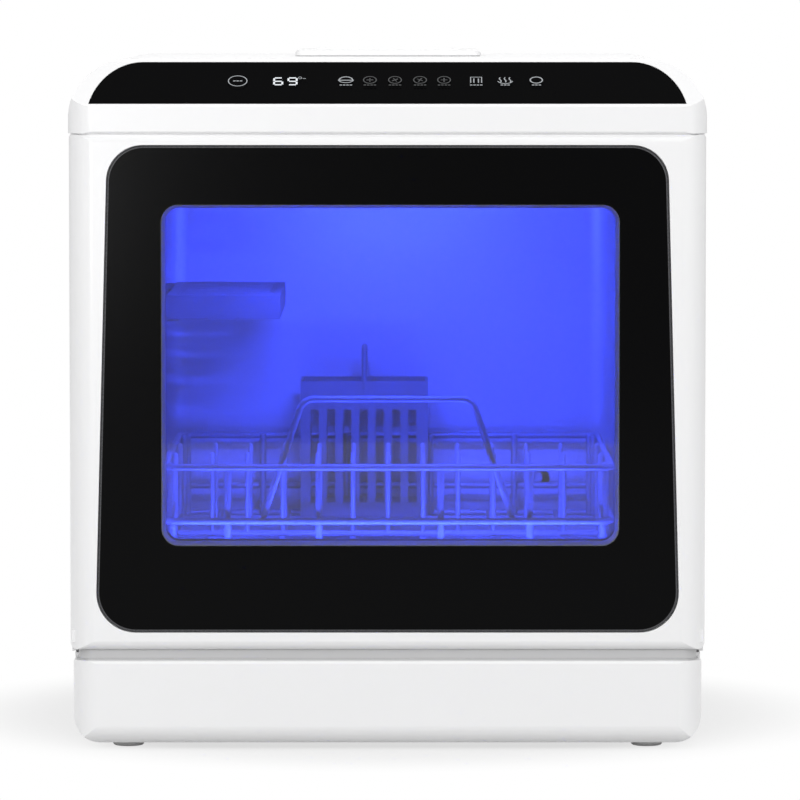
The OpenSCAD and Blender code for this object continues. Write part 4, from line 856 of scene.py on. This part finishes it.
def digit(x, s, lit):
    """The lit bars of a seven-bar digit whose lower left corner is (x, s)."""
    left, right, low, middle, high = x, x + DIGIT_W, s, s + DIGIT_H / 2, s + DIGIT_H
    bars = dict(
        a=[(left + BAR_GAP, high), (right - BAR_GAP, high)],
        b=[(right, high - BAR_GAP), (right, middle + BAR_GAP)],
        c=[(right, middle - BAR_GAP), (right, low + BAR_GAP)],
        d=[(left + BAR_GAP, low), (right - BAR_GAP, low)],
        e=[(left, middle - BAR_GAP), (left, low + BAR_GAP)],
        f=[(left, high - BAR_GAP), (left, middle + BAR_GAP)],
        g=[(left + BAR_GAP, middle), (right - BAR_GAP, middle)],
    )
    return [stroke(bars[k], BAR) for k in lit]


DASH_STEP, DASH_FROM, DASH_TO, DASH_WIDE = 2.2, 0.3, 1.9, 0.9


def dashes(x, s, n=4):
    """A row of n short dashes centred on x."""
    starts = [x + (k - n / 2) * DASH_STEP for k in range(n)]
    return [stroke([(a + DASH_FROM, s), (a + DASH_TO, s)], DASH_WIDE) for a in starts]


# %% The bright signs, from the left
S = 24.7  # the height of the row of signs, up the slope
CAPTION = S - 5.2
DIGITS_LOW = S - 4.9

x = -98.6  # a ring
lit = [stroke(oval(x, S - 0.4, 6.1, 6.0), 0.6, True), *dashes(x, S - 0.4, 3)]
lit += [stroke(oval(-57.6, S + 3.2, 1.0, 1.2, n=14), 0.4, True)]
lit += [stroke([(-55.8, S + 2.4), (-53.8, S + 2.4)], 0.5)]
x = -27.4  # a covered bowl
lit += [stroke(oval(x, S + 0.6, 4.4, 3.8, 0, 180), 0.8)]
lit += [stroke([(x - 5.2, S + 0.4), (x + 5.2, S + 0.4)], 0.8)]
lit += [stroke(oval(x, S + 0.4, 4.6, 2.8, 180, 360), 0.6), *dashes(x, CAPTION)]
x = 58.3  # a gate with two bars
gate = [(x - 3.6, S - 2.6), (x - 3.6, S + 4), (x + 3.6, S + 4), (x + 3.6, S - 2.6)]
lit += [stroke(gate, 0.7)]
lit += [stroke([(x + k, S - 2.6), (x + k, S + 2.4)], 0.7) for k in (-1.5, 1.5)]
lit += dashes(x, CAPTION)
x = 77.4  # three waves in a bowl
for k in (-3.2, 0, 3.2):
    rise = np.linspace(0, 6.3, 12)
    lit += [stroke(np.array([(x + k + 0.6 * math.sin(t), S - 2 + t * 0.9) for t in rise]), 0.7)]
lit += [stroke(oval(x, S + 0.8, 5.2, 4.4, 200, 340), 0.6), *dashes(x, CAPTION, 3)]
x = 97.9  # an oval
lit += [stroke(oval(x, S + 0.6, 4.0, 3.6), 0.8, True), *dashes(x, CAPTION, 3)]

# %% The digits and the four dim dials
digits = digit(-74.6, DIGITS_LOW, "acdefg") + digit(-65.2, DIGITS_LOW, "abcdfg")
DIALS = ((-11.6, 0), (4.9, 30), (21.4, 60), (37.2, 90))
HAND, DIAL_S = 2.2, S + 0.8
dim = []
for x, turn in DIALS:
    c, n = HAND * math.cos(math.radians(turn)), HAND * math.sin(math.radians(turn))
    dim += [stroke(oval(x, DIAL_S, 4.2, 4.0), 0.65, True), *dashes(x, CAPTION)]
    dim += [stroke([(x - c, DIAL_S - n), (x + c, DIAL_S + n)], 0.8)]
    dim += [stroke([(x + n, DIAL_S - c), (x - n, DIAL_S + c)], 0.55)]
place(build("signs", *lit), sign_light, "cabinet", "white_gloss")
place(build("signs_dim", *dim), sign_dim, "cabinet", "white_gloss")
place(build("digits", *digits), digit_light, "cabinet", "white_gloss")

# %% [markdown]
# ## Light, floor and camera
#
# Large soft lamps from above, both sides and the back in a white room, one small card for the
# sheen in the upper left of the black glass, and two blue lamps inside the chamber. The floor
# stays white to the camera and keeps the shadow under the feet. The camera stands four metres in
# front, a little above the machine. Lamps and camera are placed in the frame's metres.

# %% The studio
scene = bpy.context.scene
scene.view_settings.view_transform = "Standard"


def lamp(name, spot, target, size, watts, colour=(1, 1, 1)):
    """A rectangular soft lamp that faces its target."""
    data = bpy.data.lights.new(name, "AREA")
    data.shape, data.size, data.size_y, data.energy = "RECTANGLE", size[0], size[1], watts
    data.color = colour
    light = bpy.data.objects.new(name, data)
    light.location = spot
    light.rotation_euler = (Vector(target) - Vector(spot)).to_track_quat("-Z", "Y").to_euler()
    scene.collection.objects.link(light)
    return light


lamp("key_left", (-1.9, -2.2, 1.5), (0, 0, 0.22), (1.6, 1.6), 29.5)
lamp("key_right", (1.9, -2.2, 1.5), (0, 0, 0.22), (1.6, 1.6), 29)
lamp("top", (0, -0.4, 2.2), (0, 0, 0.2), (2.2, 1.6), 8)
lamp("rear", (0.4, 2.6, 1.8), (0, 0, 0.2), (2.0, 1.6), 14)
card = lamp("card", (-0.53, -2.4, 0.36), (-0.1, -0.2, 0.35), (0.34, 0.3), 5.5)
card.visible_diffuse = False
card.visible_transmission = False
lamp_low, lamp_high = cad("chamber_lamp")
under_lamp = at([0, (lamp_low[1] + lamp_high[1]) / 2, lamp_low[2] - 1])
lamp("chamber", under_lamp, under_lamp + [0, 0.25, -0.4], (0.12, 0.008), 11.0, BLUE)
behind_door = at([0, 50, 110])
lamp("chamber_low", behind_door, behind_door + [0, 0.2, 0.25], (0.3, 0.02), 4.0, BLUE)

# %% The white room
WHITE = (1, 1, 1, 1)
ROOM_LIGHT = 0.56


def camera_rays(tree, *kinds):
    """1 where the ray comes from the camera, or is one of the other kinds, and 0 elsewhere."""
    path = new_node(tree, "LightPath")
    rays = path.outputs["Is Camera Ray"]
    for kind in kinds:
        most = new_node(tree, "Math", operation="MAXIMUM")
        tree.links.new(rays, most.inputs[0])
        tree.links.new(path.outputs[kind], most.inputs[1])
        rays = most.outputs[0]
    return rays


def mixed(tree, factor, base, other, end):
    """Mixes two shaders by a factor into an end socket."""
    mix = new_node(tree, "MixShader")
    for source, socket in zip((factor, base.outputs[0], other.outputs[0]), mix.inputs):
        tree.links.new(source, socket)
    tree.links.new(mix.outputs[0], end)


world = bpy.data.worlds.new("room")
world.use_nodes = True
scene.world = world
tree = world.node_tree
room = tree.nodes["Background"]
room.inputs["Color"].default_value = WHITE
room.inputs["Strength"].default_value = ROOM_LIGHT
backdrop = new_node(tree, "Background", {"Color": WHITE})
mixed(tree, camera_rays(tree), room, backdrop, tree.nodes["World Output"].inputs["Surface"])

# %% The floor
FLOOR_R, FLOOR_SIDES = 3000, 96
around = full_turn(FLOOR_SIDES)
disc = lying(np.column_stack([FLOOR_R * np.cos(around), FLOOR_R * np.sin(around) - FRONT]), 0.0)
floor = build("floor", (disc, [np.arange(FLOOR_SIDES)[None, :]]))

GROUND = (0.6, 0.6, 0.6, 1)
FADE_FROM, FADE_TO = 0.22, 0.34  # how far from the middle the glow grows to full, in metres
GLOW_UNDER, GLOW_FULL = 0.68, 1.0
ground = bpy.data.materials.new("ground")
ground.use_nodes = True
tree = ground.node_tree
matt = tree.nodes["Principled BSDF"]
matt.inputs["Base Color"].default_value = GROUND
matt.inputs["Roughness"].default_value = 0.8
glow = new_node(tree, "Emission")
where = new_node(tree, "TexCoord")
length = new_node(tree, "VectorMath", operation="LENGTH")
tree.links.new(where.outputs["Object"], length.inputs[0])
span = {"From Min": FADE_FROM, "From Max": FADE_TO, "To Min": GLOW_UNDER, "To Max": GLOW_FULL}
fade = new_node(tree, "MapRange", span, interpolation_type="SMOOTHSTEP")
tree.links.new(length.outputs["Value"], fade.inputs["Value"])
times = new_node(tree, "Math", operation="MULTIPLY")
tree.links.new(camera_rays(tree, "Is Glossy Ray", "Is Transmission Ray"), times.inputs[0])
tree.links.new(fade.outputs["Result"], times.inputs[1])
mixed(tree, times.outputs[0], matt, glow, tree.nodes["Material Output"].inputs["Surface"])
floor.data.materials.append(ground)

# %% The camera
LENS, SENSOR, FAR_CLIP = 274.7, 36.0, 50
CAMERA_X, CAMERA_AWAY, CAMERA_HEIGHT, CAMERA_DOWN = 0.0082, 4.0, 0.4951, 3.77
camera_data = bpy.data.cameras.new("camera")
camera_data.lens, camera_data.sensor_width, camera_data.clip_end = LENS, SENSOR, FAR_CLIP
camera = bpy.data.objects.new("camera", camera_data)
camera.location = (CAMERA_X, FRONT * MM - CAMERA_AWAY, CAMERA_HEIGHT)
camera.rotation_euler = (math.radians(90 - CAMERA_DOWN), 0, 0)
scene.collection.objects.link(camera)
scene.camera = camera
